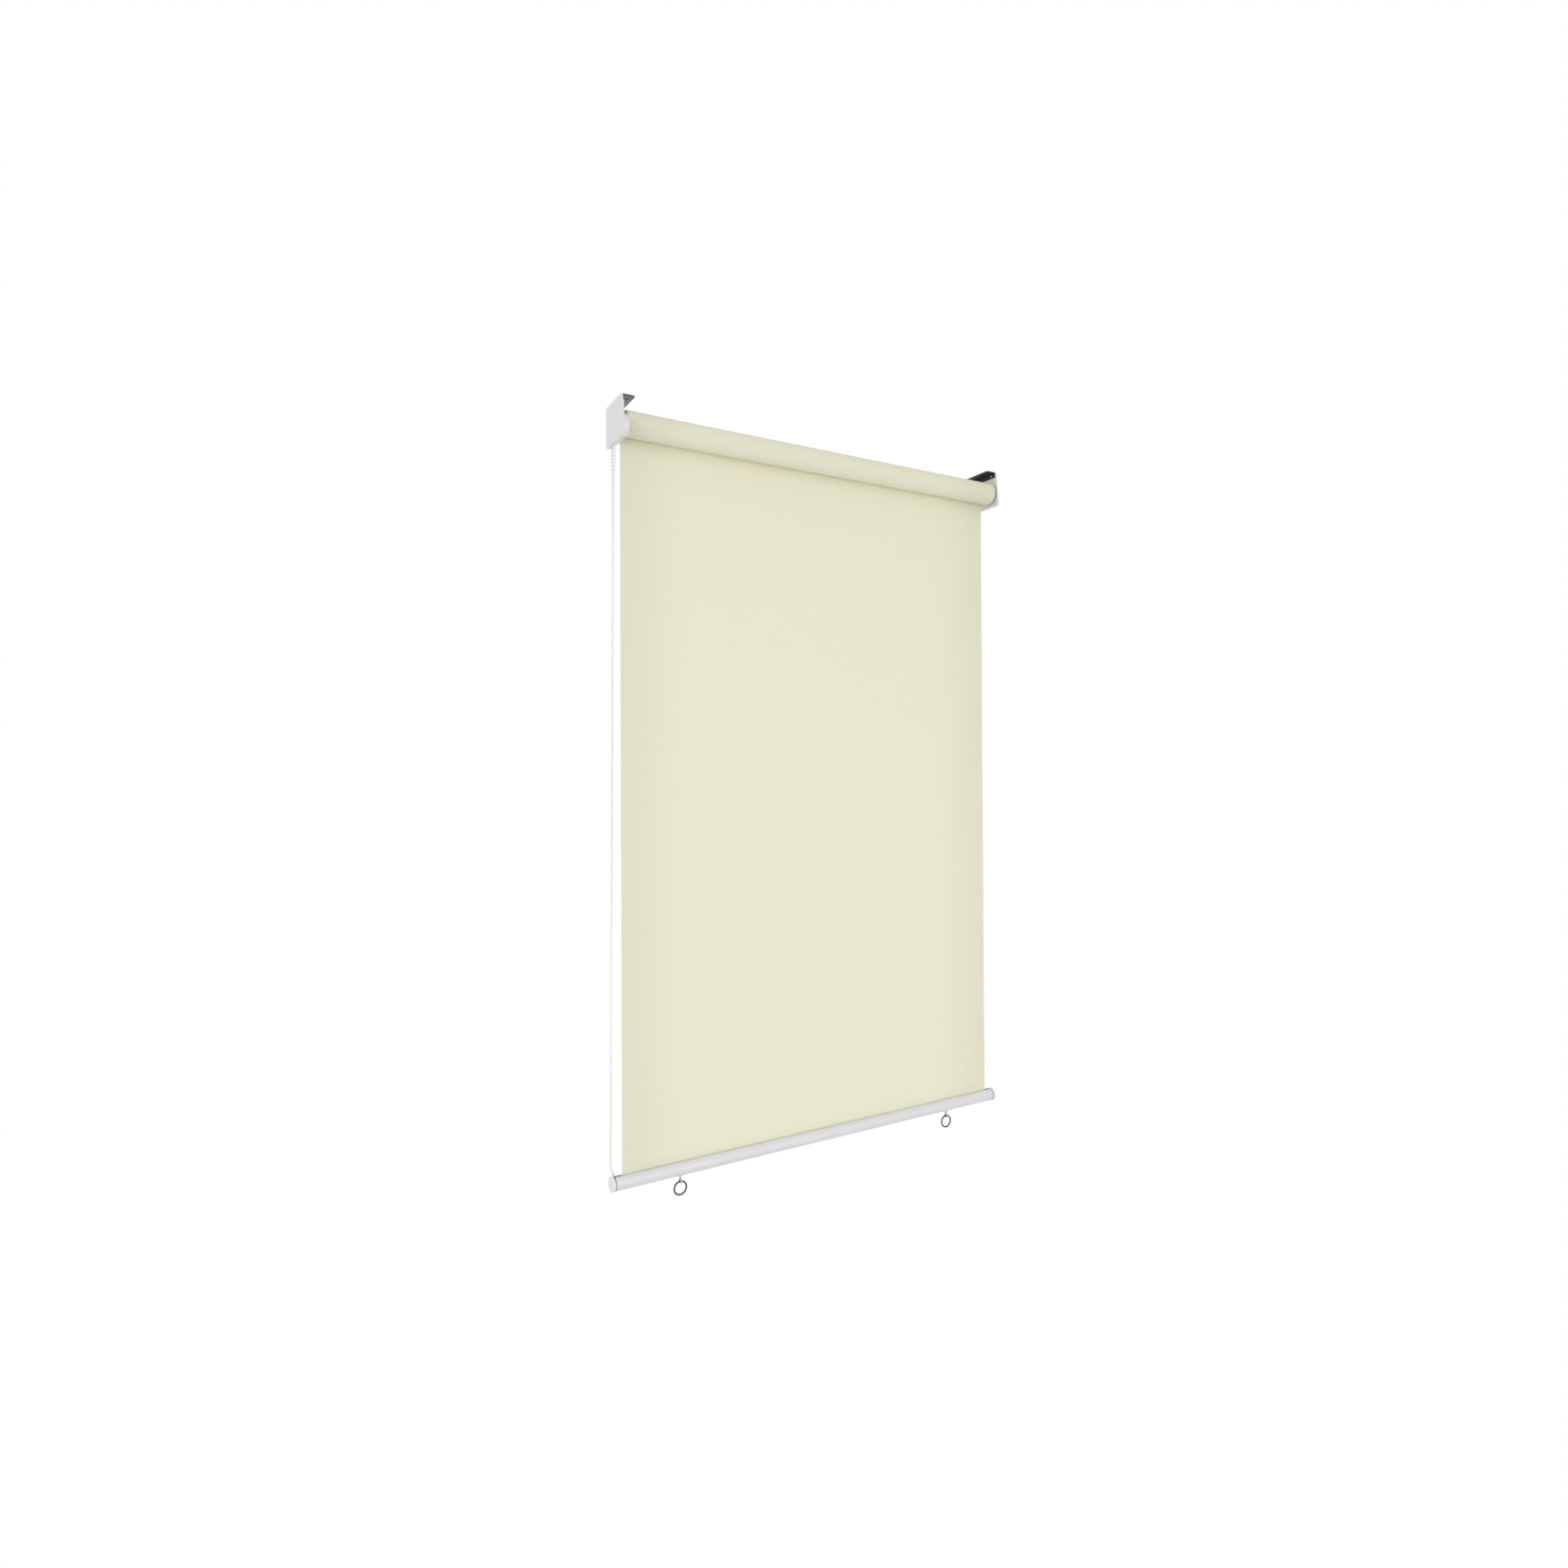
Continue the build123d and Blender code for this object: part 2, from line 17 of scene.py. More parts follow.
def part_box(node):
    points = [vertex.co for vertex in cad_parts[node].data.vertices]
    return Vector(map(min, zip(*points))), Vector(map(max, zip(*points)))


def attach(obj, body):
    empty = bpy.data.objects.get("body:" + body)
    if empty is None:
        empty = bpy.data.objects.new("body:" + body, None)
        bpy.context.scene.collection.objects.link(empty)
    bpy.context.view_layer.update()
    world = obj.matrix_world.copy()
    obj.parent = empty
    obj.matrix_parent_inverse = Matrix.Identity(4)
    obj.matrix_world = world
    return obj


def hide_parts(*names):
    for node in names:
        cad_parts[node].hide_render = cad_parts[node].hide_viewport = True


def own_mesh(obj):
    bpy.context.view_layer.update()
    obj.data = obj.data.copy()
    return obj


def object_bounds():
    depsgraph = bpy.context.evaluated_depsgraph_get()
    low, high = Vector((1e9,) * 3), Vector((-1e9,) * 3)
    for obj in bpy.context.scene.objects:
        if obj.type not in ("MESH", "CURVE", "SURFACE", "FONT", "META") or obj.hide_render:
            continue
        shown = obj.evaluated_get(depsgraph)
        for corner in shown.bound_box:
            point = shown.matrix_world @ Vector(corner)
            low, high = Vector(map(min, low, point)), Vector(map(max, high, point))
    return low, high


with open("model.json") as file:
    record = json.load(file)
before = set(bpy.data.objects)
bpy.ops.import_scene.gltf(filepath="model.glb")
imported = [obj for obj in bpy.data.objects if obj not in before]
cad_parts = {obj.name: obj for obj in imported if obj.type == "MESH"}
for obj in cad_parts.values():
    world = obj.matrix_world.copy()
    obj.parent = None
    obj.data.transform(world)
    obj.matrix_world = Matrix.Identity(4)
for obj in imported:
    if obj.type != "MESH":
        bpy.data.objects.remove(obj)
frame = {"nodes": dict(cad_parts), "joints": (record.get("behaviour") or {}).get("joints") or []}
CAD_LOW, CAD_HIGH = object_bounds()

bl_info = {
    "name": "Outdoor Roller Blind",
    "version": (1, 0, 0),
    "blender": (4, 5, 0),
    "location": "3D View > Sidebar > Roller Blind",
    "description": "Dresses an outdoor roller blind: cloth, chain, rings, springs, finishes and stage",
    "category": "Object",
}

SHEET_LOW, SHEET_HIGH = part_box("fabric_sheet")
HEM_LOW, HEM_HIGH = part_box("fabric_hem")
BAR_LOW, BAR_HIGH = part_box("bottom_bar")
JOINTS = {joint["name"]: joint for joint in frame["joints"]}
ROLLER_AXIS = Vector(JOINTS["roller_spin"]["pos_m"])
THICKNESS = SHEET_HIGH.y - SHEET_LOW.y
HALF_WIDTH = (SHEET_HIGH.x - SHEET_LOW.x) / 2
DROP = SHEET_HIGH.z - SHEET_LOW.z

# Faces of the pieces whose count isn't a setting
PLAIN_COLUMNS = 20  # across the roll and the hem
FLAP_ROWS = 4  # down each flap of the hem
FOLD_STEPS = 41  # round the hem's fold
BEAD_SEGMENTS, BEAD_RINGS = 10, 6  # round a bead and down it
THREAD_SIDES = 6  # round the chain's thread
CHAIN_ORDER, CHAIN_STEPS = 3, 24  # of the chain's smooth line, and its edges for each route point
COIL_SIDES = 10  # round a spring's wire
COIL_STEPS = 32  # along one turn of a spring
RING_STEPS, RING_SIDES = 72, 16  # round a tie ring and round its wire
CREASE = 1.0  # radians between two faces from which the cloth's edge is sharp

# Cloth
RIPPLE_ACROSS, RIPPLE_DOWN = 2.2, 1.7  # noise cells per metre across, and over the drop
RIPPLE_PLACE = 3.1  # the slice of the noise that shapes the ripple
CALM_RATE = 6.0  # the ripple dies away over a sixth of the drop at each end
ROLL_TURNS = 3  # turns that stay on the tube
STAGGER_RATE, STAGGER_PLACE = 1.9, (7.3, 0.4)  # noise cells per turn, and its line in the noise
FLUSH_SHARE = 0.2  # share of the first turn whose edges are flush with the sheet's
HEM_SHARE = 0.96  # thickness of the hem's cloth as a share of the sheet's, clear of the bar's channel
SEAM_GAP = 0.0001  # between the sheet's foot and the hem, which meet in the bar's slot
PAINTED_EDGE_SHADE_SHARES = (0.66, 1.02)  # shares of the half width between which painted shade darkens the cloth towards its side edges
PAINTED_FOOT_HEIGHT = 0.022  # height above the bar over which painted shade darkens the cloth
PAINTED_FOOT_SHADE = 0.45  # depth of that painted shade, as a share of the painted edge shade

# Chain, springs and rings
WHEEL_POCKETS, FILLED_POCKETS = 12, 7  # of the wheel, and those with a bead, from its top round its front
TAIL_RISE = 0.14  # of the last bead off the wheel, in pitches
COIL_GAP = 0.00005  # between a spring's last turn and what it presses on
CLOSE_SHARE = 1.03  # pitch of a closed turn, in thicknesses of its wire
WELD_ANGLE, WELD_SPREAD = 2.2, 0.09  # place and half width of a ring's weld, in radians
WELD_RISE = 0.10  # its rise, as a share of the wire

# Surfaces
NOISE_MIDDLE = (0.3, 0.7)  # values between which most of a noise lies
CROWN_POWER = 0.6  # how round a thread of the weave is
SLUB_FINE, SLUB_LONG = 900.0, 12.0  # noise across and along a thread, per metre
DRAWN_FINE, DRAWN_BROAD = (6.0, 2600.0, 2600.0), (9.0, 160.0, 160.0)  # noise of drawn metal, per metre
GLOSS_SHARES = (1.12, 0.92)  # roughness of the dark and the light places of a finish
GRAIN_RELIEF, GRAIN_DEPTH = 0.35, 0.00002  # strength and metres
WEAVE_RELIEF, WEAVE_DEPTH = 0.6, 0.00008
WEAVE_ROUGHNESS = (0.95, 0.80)  # between the threads and on their crowns
SLUB_SHARES = (0.84, 1.16)  # height of the thin and the thick places of a thread
LIGHT_REACH_SHARES = (1.0, 0.97, 0.85)  # of red, green and blue light in the cloth
SLOT_SHADE_SHARES = (0.985, 0.97)  # shares of the bar's radius between which the painted shade in the slot fades in
BAR_DARK, BAR_ROUGHNESS, BAR_COAT = 0.965, (0.38, 0.31), 0.12  # tone of dark places, gloss, clear coat

# Stage
WHITE = (1.0, 1.0, 1.0, 1.0)
SENSOR_WIDTH = 36.0  # millimetres
FLOOR_REACH, FLOOR_GREY, FLOOR_ROUGHNESS = 9.0, (0.72, 0.72, 0.72, 1.0), 0.9
MIDDLE = (0.0, 0.0, (CAD_LOW.z + CAD_HIGH.z) / 2)
# A light's name, its power setting, where it stands, what it faces, and its width and height
LIGHTS = (
    ("front_light", "key", (0.15, -2.3, -0.95), (0.05, 0.0, -0.45), (2.4, 1.4)),
    ("side_light", "side", (-3.1, -0.9, -0.3), MIDDLE, (1.8, 1.8)),
    ("back_light", "back", (0.5, 2.7, -0.5), MIDDLE, (2.2, 1.8)),
)

# The chain's route in metres: off the wheel, over the low post, down and round the loose end, up and
# over the high post to the wheel again. A point stands on each side of a post, a few beads off.
CHAIN_ROUTE = [
    (-0.4043, -0.0048, -0.0535),
    (-0.4043, 0.0196, -0.0490),
    (-0.4043, 0.0193, -0.0720),
    (-0.4044, 0.0192, -0.0880),
    (-0.4073, 0.0194, -0.2000),
    (-0.4110, 0.0200, -0.7800),
    (-0.4144, 0.0206, -1.2300),
    (-0.4143, 0.0213, -1.2740),
    (-0.4142, 0.0216, -1.2900),
    (-0.4066, 0.0230, -1.3046),
    (-0.4010, 0.0233, -1.3131),
    (-0.3996, 0.0280, -1.3154),
    (-0.4010, 0.0327, -1.3131),
    (-0.4042, 0.0330, -1.3084),
    (-0.4103, 0.0328, -1.2940),
    (-0.4103, 0.0327, -1.2780),
    (-0.4103, 0.0324, -1.2360),
    (-0.4069, 0.0322, -0.7840),
    (-0.4030, 0.0322, -0.2000),
    (-0.4041, 0.0322, -0.0550),
    (-0.4043, 0.0328, -0.0319),
    (-0.4043, 0.0100, -0.0324),
    (-0.4043, -0.0050, -0.0324),
]


# ---- settings ------------------------------------------------------------------------------------


def colour_setting(name, description, default):
    """A colour as linear red, green and blue."""
    return FloatVectorProperty(
        name=name, description=description, default=default, size=3, min=0.0, max=1.0, subtype="COLOR"
    )


def length_setting(name, description, default, low=0.0, high=10.0):
    """A length in metres."""
    return FloatProperty(
        name=name, description=description, default=default, min=low, max=high, unit="LENGTH",
        subtype="DISTANCE", precision=5,
    )


def share_setting(name, description, default, high=0.5):
    """A share from 0 up to a limit."""
    return FloatProperty(
        name=name, description=description, default=default, min=0.0, max=high, subtype="FACTOR"
    )


def count_setting(name, description, default, low):
    """A whole number from a limit up."""
    return IntProperty(name=name, description=description, default=default, min=low)


def angle_setting(name, description, degrees):
    """An angle, given in degrees."""
    return FloatProperty(name=name, description=description, default=math.radians(degrees), unit="ROTATION")


def power_setting(name, description, default):
    """A light's power in watts."""
    return FloatProperty(name=name, description=description, default=default, min=0.0, unit="POWER")


class BlindClothSettings(bpy.types.PropertyGroup):
    """The woven cloth, its roll and its hem."""

    face: colour_setting("Face", "Cloth on the room side", (0.826, 0.808, 0.645))
    reverse: colour_setting("Reverse", "Cloth on the side that shows on the roll", (0.833, 0.816, 0.640))
    thread_pitch: length_setting("Thread pitch", "Distance between threads of the weave", 0.0009, 0.0003)
    thread_gap: share_setting("Thread gap shade", "How much darker the cloth is between its threads", 0.15)
    translucence: share_setting("Translucence", "Share of the light that sinks into the cloth", 0.35, 1.0)
    light_reach: length_setting("Light reach", "How far light spreads inside the cloth", 0.0012)
    ripple: length_setting("Ripple", "How far the hanging cloth waves out of its plane", 0.0006)
    stagger: length_setting("Stagger", "How unevenly the turns of the roll end", 0.0007)
    columns: count_setting("Columns", "Faces across the cloth", 80, 8)
    rows: count_setting("Rows", "Faces down the cloth", 120, 8)
    turn_steps: count_setting("Turn steps", "Faces round one turn of the roll", 72, 24)
    # painted shade: how much darker the cloth's colour is made towards its side edges
    painted_edge_shade: share_setting("Selvedge shade", "How much darker the cloth is towards its edges", 0.08)


class BlindChainSettings(bpy.types.PropertyGroup):
    """The operating chain of round beads."""

    colour: colour_setting("Beads", "Moulded beads and their thread", (0.90, 0.90, 0.885))
    bead: length_setting("Bead", "Diameter of a bead", 0.0045, 0.001)
    pitch: length_setting("Pitch", "Distance between beads", 0.006, 0.002)
    thread: length_setting("Thread", "Diameter of the thread between beads", 0.0014, 0.0002)


class BlindSpringSettings(bpy.types.PropertyGroup):
    """The two coil springs inside the roller."""

    brake_wire: length_setting("Brake wire", "Thickness of the brake spring's wire", 0.0013, 0.0003)
    brake_turns: count_setting("Brake turns", "Turns of the brake spring", 9, 3)
    idle_wire: length_setting("Idle wire", "Thickness of the idle spring's wire", 0.0018, 0.0003)
    idle_turns: count_setting("Idle turns", "Turns of the idle spring", 7, 3)


class BlindFinishSettings(bpy.types.PropertyGroup):
    """Colours of the moulded and metal pieces."""

    housing: colour_setting("Housing", "Moulded end brackets", (0.745, 0.745, 0.735))
    cap: colour_setting("Caps", "Moulded caps of the bottom bar", (0.80, 0.80, 0.79))
    wheel: colour_setting("Wheel", "Moulded chain wheel and tube plugs", (0.70, 0.70, 0.68))
    core: colour_setting("Core", "Clutch core and hem rod", (0.075, 0.076, 0.080))
    bar: colour_setting("Bar", "White satin coat on the bottom bar", (0.715, 0.712, 0.735))
    # Painted shade: a flat dark colour on the inner faces of the bar's open slot beyond the cloth, in place
    # of its shadow
    painted_slot_shade: colour_setting("Bare metal", "Open slot of the bottom bar beyond the cloth", (0.10, 0.10, 0.105))
    tube: colour_setting("Tube", "Mill finish of the roller tube", (0.60, 0.60, 0.61))
    angle: colour_setting("Angles", "Dark paint on the steel angles", (0.022, 0.022, 0.024))
    steel: colour_setting("Steel", "Screws, springs and idle pin", (0.42, 0.42, 0.43))
    tab: colour_setting("Tabs", "Zinc plate on the ring tabs", (0.55, 0.55, 0.55))
    ring: colour_setting("Rings", "Dark plated wire of the rings", (0.040, 0.040, 0.042))


class BlindStageSettings(bpy.types.PropertyGroup):
    """Camera and light."""

    place: FloatVectorProperty(
        name="Camera", description="Where the camera stands", default=(-0.923, -1.448, -0.623), size=3,
        subtype="TRANSLATION", unit="LENGTH",
    )
    yaw: angle_setting("Yaw", "Turn to the right", 29.79)
    pitch: angle_setting("Pitch", "Tilt upwards", 0.51)
    roll: angle_setting("Roll", "Lean of the camera", -0.27)
    lens: FloatProperty(name="Lens", description="Focal length in millimetres", default=20.82, min=5.0)
    shift: FloatVectorProperty(name="Shift", description="Lens shift", default=(0.0023, -0.0131), size=2)
    dome: FloatProperty(
        name="Dome", description="Strength of the light from all round", default=0.755, min=0.0
    )
    key: power_setting("Key", "Power of the low front light", 16.7)
    side: power_setting("Side", "Power of the left light", 21.6)
    back: power_setting("Back", "Power of the light behind", 14.0)
    floor: length_setting("Floor", "How far the floor lies below the rings", 0.75)


class RollerBlindSettings(bpy.types.PropertyGroup):
    """Everything that a user would change on the blind."""

    cloth: PointerProperty(type=BlindClothSettings)
    chain: PointerProperty(type=BlindChainSettings)
    springs: PointerProperty(type=BlindSpringSettings)
    finish: PointerProperty(type=BlindFinishSettings)
    stage: PointerProperty(type=BlindStageSettings)


# ---- shader groups and finishes ------------------------------------------------------------------


class NodeSheet:
    """Adds and links nodes in one tree."""

    def __init__(self, tree):
        self.tree = tree

    def add(self, kind, **values):
        """A new node with its own values set."""
        node = self.tree.nodes.new(kind)
        for key, value in values.items():
            setattr(node, key, value)
        return node

    def link(self, start, end):
        self.tree.links.new(start, end)

    def feed(self, socket, value):
        """Links a socket, or sets a constant on it."""
        if isinstance(value, bpy.types.NodeSocket):
            self.link(value, socket)
        else:
            socket.default_value = value

    def math(self, operation, *values):
        """One sum, each value a number or a socket."""
        node = self.add("ShaderNodeMath", operation=operation)
        for socket, value in zip(node.inputs, values):
            self.feed(socket, value)
        return node.outputs[0]

    def stretch(self, vector, scale):
        """A place scaled along each axis."""
        node = self.add("ShaderNodeMapping")
        self.link(vector, node.inputs["Vector"])
        node.inputs["Scale"].default_value = scale
        return node.outputs["Vector"]

    def noise(self, vector, scale, detail=2.0, roughness=0.5):
        """Soft noise at a place."""
        node = self.add("ShaderNodeTexNoise")
        self.link(vector, node.inputs["Vector"])
        self.feed(node.inputs["Scale"], scale)
        node.inputs["Detail"].default_value = detail
        node.inputs["Roughness"].default_value = roughness
        return node.outputs["Fac"]

    def span(self, value, low, high, to_low, to_high, course="LINEAR"):
        """Maps the range from low to high on another range."""
        node = self.add("ShaderNodeMapRange", interpolation_type=course)
        self.link(value, node.inputs["Value"])
        limits = {"From Min": low, "From Max": high, "To Min": to_low, "To Max": to_high}
        for socket, limit in limits.items():
            self.feed(node.inputs[socket], limit)
        return node.outputs["Result"]

    def tint(self, factor, first, second):
        """Mixes two colours, each a triple or a socket."""
        node = self.add("ShaderNodeMix", data_type="RGBA")
        self.link(factor, node.inputs["Factor"])
        colours = [socket for socket in node.inputs if socket.type == "RGBA"]
        for socket, colour in zip(colours, (first, second)):
            self.feed(socket, colour if isinstance(colour, bpy.types.NodeSocket) else (*colour, 1.0))
        return next(socket for socket in node.outputs if socket.type == "RGBA")


def shader_group(name, inputs, outputs):
    """A new shader node group with float or vector sockets, and its sheet, entry and exit."""
    tree = bpy.data.node_groups.new(name, "ShaderNodeTree")
    for label, kind, default in inputs:
        socket = tree.interface.new_socket(label, in_out="INPUT", socket_type=kind)
        if default is not None:
            socket.default_value = default
    for label in outputs:
        tree.interface.new_socket(label, in_out="OUTPUT", socket_type="NodeSocketFloat")
    sheet = NodeSheet(tree)
    return tree, sheet, sheet.add("NodeGroupInput"), sheet.add("NodeGroupOutput")


def weave_group():
    """Plain weave: each thread passes over one and under the next."""
    tree, sheet, entry, exit_node = shader_group(
        "plain_weave",
        [("Cloth", "NodeSocketVector", None), ("Pitch", "NodeSocketFloat", 0.0009)],
        ["Height", "Tone"],
    )
    axes = sheet.add("ShaderNodeSeparateXYZ")
    sheet.link(entry.outputs["Cloth"], axes.inputs[0])
    waves = []
    for axis in (0, 1):
        cell = sheet.math("DIVIDE", axes.outputs[axis], entry.outputs["Pitch"])
        waves.append(sheet.math("SINE", sheet.math("MULTIPLY", cell, math.pi)))
    warp, weft = (sheet.math("ABSOLUTE", wave) for wave in waves)
    over = sheet.math("GREATER_THAN", sheet.math("MULTIPLY", *waves), 0.0)
    under = sheet.math("SUBTRACT", 1.0, over)
    crown = sheet.math(
        "ADD",
        sheet.math("MULTIPLY", over, sheet.math("POWER", warp, CROWN_POWER)),
        sheet.math("MULTIPLY", under, sheet.math("POWER", weft, CROWN_POWER)),
    )
    sheet.link(crown, exit_node.inputs["Height"])
    slubs = [
        sheet.noise(sheet.stretch(entry.outputs["Cloth"], scale), 1.0)
        for scale in ((SLUB_FINE, SLUB_LONG, 1.0), (SLUB_LONG, SLUB_FINE, 1.0))
    ]
    sheet.link(sheet.math("MULTIPLY", sheet.math("ADD", *slubs), 0.5), exit_node.inputs["Tone"])
    return tree


def mottle_group():
    """Broad soft variation and fine grain, as on moulded or painted surfaces."""
    tree, sheet, entry, exit_node = shader_group(
        "moulded_grain",
        [("Place", "NodeSocketVector", None), ("Grain", "NodeSocketFloat", 1800.0)],
        ["Height", "Tone"],
    )
    fine = sheet.noise(entry.outputs["Place"], entry.outputs["Grain"], detail=3.0)
    sheet.link(fine, exit_node.inputs["Height"])
    broad = sheet.noise(entry.outputs["Place"], scale=24.0, detail=3.0, roughness=0.6)
    sheet.link(sheet.span(broad, *NOISE_MIDDLE, 0.0, 1.0), exit_node.inputs["Tone"])
    return tree


def draw_lines_group():
    """Fine lines along X, as drawing and brushing leave them on metal."""
    tree, sheet, entry, exit_node = shader_group(
        "drawn_lines",
        [("Place", "NodeSocketVector", None), ("Lines", "NodeSocketFloat", 1.0)],
        ["Height", "Tone"],
    )
    place = entry.outputs["Place"]
    fine = sheet.noise(sheet.stretch(place, DRAWN_FINE), entry.outputs["Lines"], detail=3.0)
    sheet.link(fine, exit_node.inputs["Height"])
    broad = sheet.noise(sheet.stretch(place, DRAWN_BROAD), 1.0)
    sheet.link(sheet.span(broad, *NOISE_MIDDLE, 0.0, 1.0), exit_node.inputs["Tone"])
    return tree


def shaded(colour, share):
    """A colour made darker."""
    return tuple(value * share for value in colour)


def new_finish(name):
    """A new material, with the sheet of its nodes and its surface shader."""
    material = bpy.data.materials.new(name)
    material.use_nodes = True
    sheet = NodeSheet(material.node_tree)
    shader = next(node for node in material.node_tree.nodes if node.type == "BSDF_PRINCIPLED")
    return material, sheet, shader


def relief(sheet, shader, height, strength, distance):
    """Fine relief in the surface, from a height."""
    bump = sheet.add("ShaderNodeBump")
    bump.inputs["Strength"].default_value = strength
    bump.inputs["Distance"].default_value = distance
    sheet.link(height, bump.inputs["Height"])
    sheet.link(bump.outputs["Normal"], shader.inputs["Normal"])


def show_white(sheet, lit, white, output):
    """Lets the eye and mirrors see plain white where other light meets the lit surface."""
    rays = sheet.add("ShaderNodeLightPath").outputs
    seen = sheet.math("MAXIMUM", rays["Is Camera Ray"], rays["Is Glossy Ray"])
    seen = sheet.math("MAXIMUM", seen, rays["Is Transmission Ray"])
    mix = sheet.add("ShaderNodeMixShader")
    sheet.link(seen, mix.inputs[0])
    sheet.link(lit.outputs[0], mix.inputs[1])
    sheet.link(white.outputs[0], mix.inputs[2])
    sheet.link(mix.outputs[0], output.inputs["Surface"])


def grained(name, group, colour, roughness, size, dark, metallic=0.0, depth=GRAIN_DEPTH):
    """A moulded, painted or metal finish whose tone, gloss and relief come from a shared group.

    size is the group's own measure of its grain, and dark the tone of the dark places as a share."""
    material, sheet, shader = new_finish(name)
    place = sheet.add("ShaderNodeTexCoord").outputs["Object"]
    effect = sheet.add("ShaderNodeGroup", node_tree=group)
    sheet.link(place, effect.inputs["Place"])
    effect.inputs[1].default_value = size
    tone = effect.outputs["Tone"]
    sheet.link(sheet.tint(tone, shaded(colour, dark), colour), shader.inputs["Base Color"])
    rough, smooth = (roughness * share for share in GLOSS_SHARES)
    sheet.link(sheet.span(tone, 0.0, 1.0, rough, smooth), shader.inputs["Roughness"])
    shader.inputs["Metallic"].default_value = metallic
    relief(sheet, shader, effect.outputs["Height"], GRAIN_RELIEF, depth)
    return material


def coated_bar(name, group, coat, painted_slot_shade):
    """The bottom bar: a satin coat outside, and painted shade, a flat dark colour, on the inner faces of
    the open slot beyond the cloth.
    """
    material, sheet, shader = new_finish(name)
    place = sheet.add("ShaderNodeTexCoord").outputs["Object"]
    effect = sheet.add("ShaderNodeGroup", node_tree=group)
    sheet.link(place, effect.inputs["Place"])
    axis = (BAR_LOW + BAR_HIGH) / 2
    radius = (BAR_HIGH.y - BAR_LOW.y) / 2
    axes = sheet.add("ShaderNodeSeparateXYZ")
    sheet.link(place, axes.inputs[0])
    squares = [
        sheet.math("POWER", sheet.math("SUBTRACT", axes.outputs[way], middle), 2.0)
        for way, middle in (("Y", axis.y), ("Z", BAR_LOW.z + radius))
    ]
    # Painted shade: inner faces of the slot beyond the cloth's width take the dark slot colour
    out = sheet.math("SQRT", sheet.math("ADD", *squares))
    beyond = sheet.math("GREATER_THAN", sheet.math("ABSOLUTE", axes.outputs["X"]), SHEET_HIGH.x)
    shade_start, under = (radius * share for share in SLOT_SHADE_SHARES)
    inside = sheet.math("MULTIPLY", sheet.span(out, shade_start, under, 0.0, 1.0), beyond)
    tone = effect.outputs["Tone"]
    outer = sheet.tint(tone, shaded(coat, BAR_DARK), coat)
    sheet.link(sheet.tint(inside, outer, painted_slot_shade), shader.inputs["Base Color"])
    sheet.link(sheet.span(tone, 0.0, 1.0, *BAR_ROUGHNESS), shader.inputs["Roughness"])
    shader.inputs["Coat Weight"].default_value = BAR_COAT
    relief(sheet, shader, effect.outputs["Height"], GRAIN_RELIEF, GRAIN_DEPTH)
    return material


def woven(name, group, colour, cloth):
    """Woven cloth on its own UV map in metres: weave, slubs, and painted shade towards its side edges and
    over its foot.
    """
    material, sheet, shader = new_finish(name)
    lay = sheet.add("ShaderNodeUVMap", uv_map="cloth").outputs["UV"]
    effect = sheet.add("ShaderNodeGroup", node_tree=group)
    sheet.link(lay, effect.inputs["Cloth"])
    effect.inputs["Pitch"].default_value = cloth.thread_pitch
    axes = sheet.add("ShaderNodeSeparateXYZ")
    sheet.link(lay, axes.inputs[0])
    # Painted shade: the cloth's colour darkens towards its side edges and over its foot above the bar
    inner, outer = (HALF_WIDTH * share for share in PAINTED_EDGE_SHADE_SHARES)
    out = sheet.math("ABSOLUTE", axes.outputs["X"])
    edge_shade_mask = sheet.span(out, inner, outer, 1.0, 0.0, "SMOOTHSTEP")
    # painted shade darkening the cloth's foot just above the bar
    foot = sheet.span(axes.outputs["Y"], DROP - PAINTED_FOOT_HEIGHT, DROP, 0.0, -PAINTED_FOOT_SHADE)
    tone = sheet.math("ADD", edge_shade_mask, foot)
    height = effect.outputs["Height"]
    slubs = sheet.span(effect.outputs["Tone"], *NOISE_MIDDLE, *SLUB_SHARES)
    body = sheet.math("MULTIPLY", height, slubs)
    # the cloth's colour under the full painted edge shade
    edge = shaded(colour, 1.0 - cloth.painted_edge_shade)
    crown = sheet.tint(tone, edge, colour)
    gap_share = 1.0 - cloth.thread_gap
    gap = sheet.tint(tone, shaded(edge, gap_share), shaded(colour, gap_share))
    sheet.link(sheet.tint(body, gap, crown), shader.inputs["Base Color"])
    sheet.link(sheet.span(height, 0.0, 1.0, *WEAVE_ROUGHNESS), shader.inputs["Roughness"])
    shader.inputs["Specular IOR Level"].default_value = 0.25
    shader.inputs["Subsurface Weight"].default_value = cloth.translucence
    shader.inputs["Subsurface Radius"].default_value = LIGHT_REACH_SHARES
    shader.inputs["Subsurface Scale"].default_value = cloth.light_reach
    shader.inputs["Sheen Weight"].default_value = 0.06
    shader.inputs["Sheen Roughness"].default_value = 0.6
    relief(sheet, shader, height, WEAVE_RELIEF, WEAVE_DEPTH)
    return material


FINISHES = {}


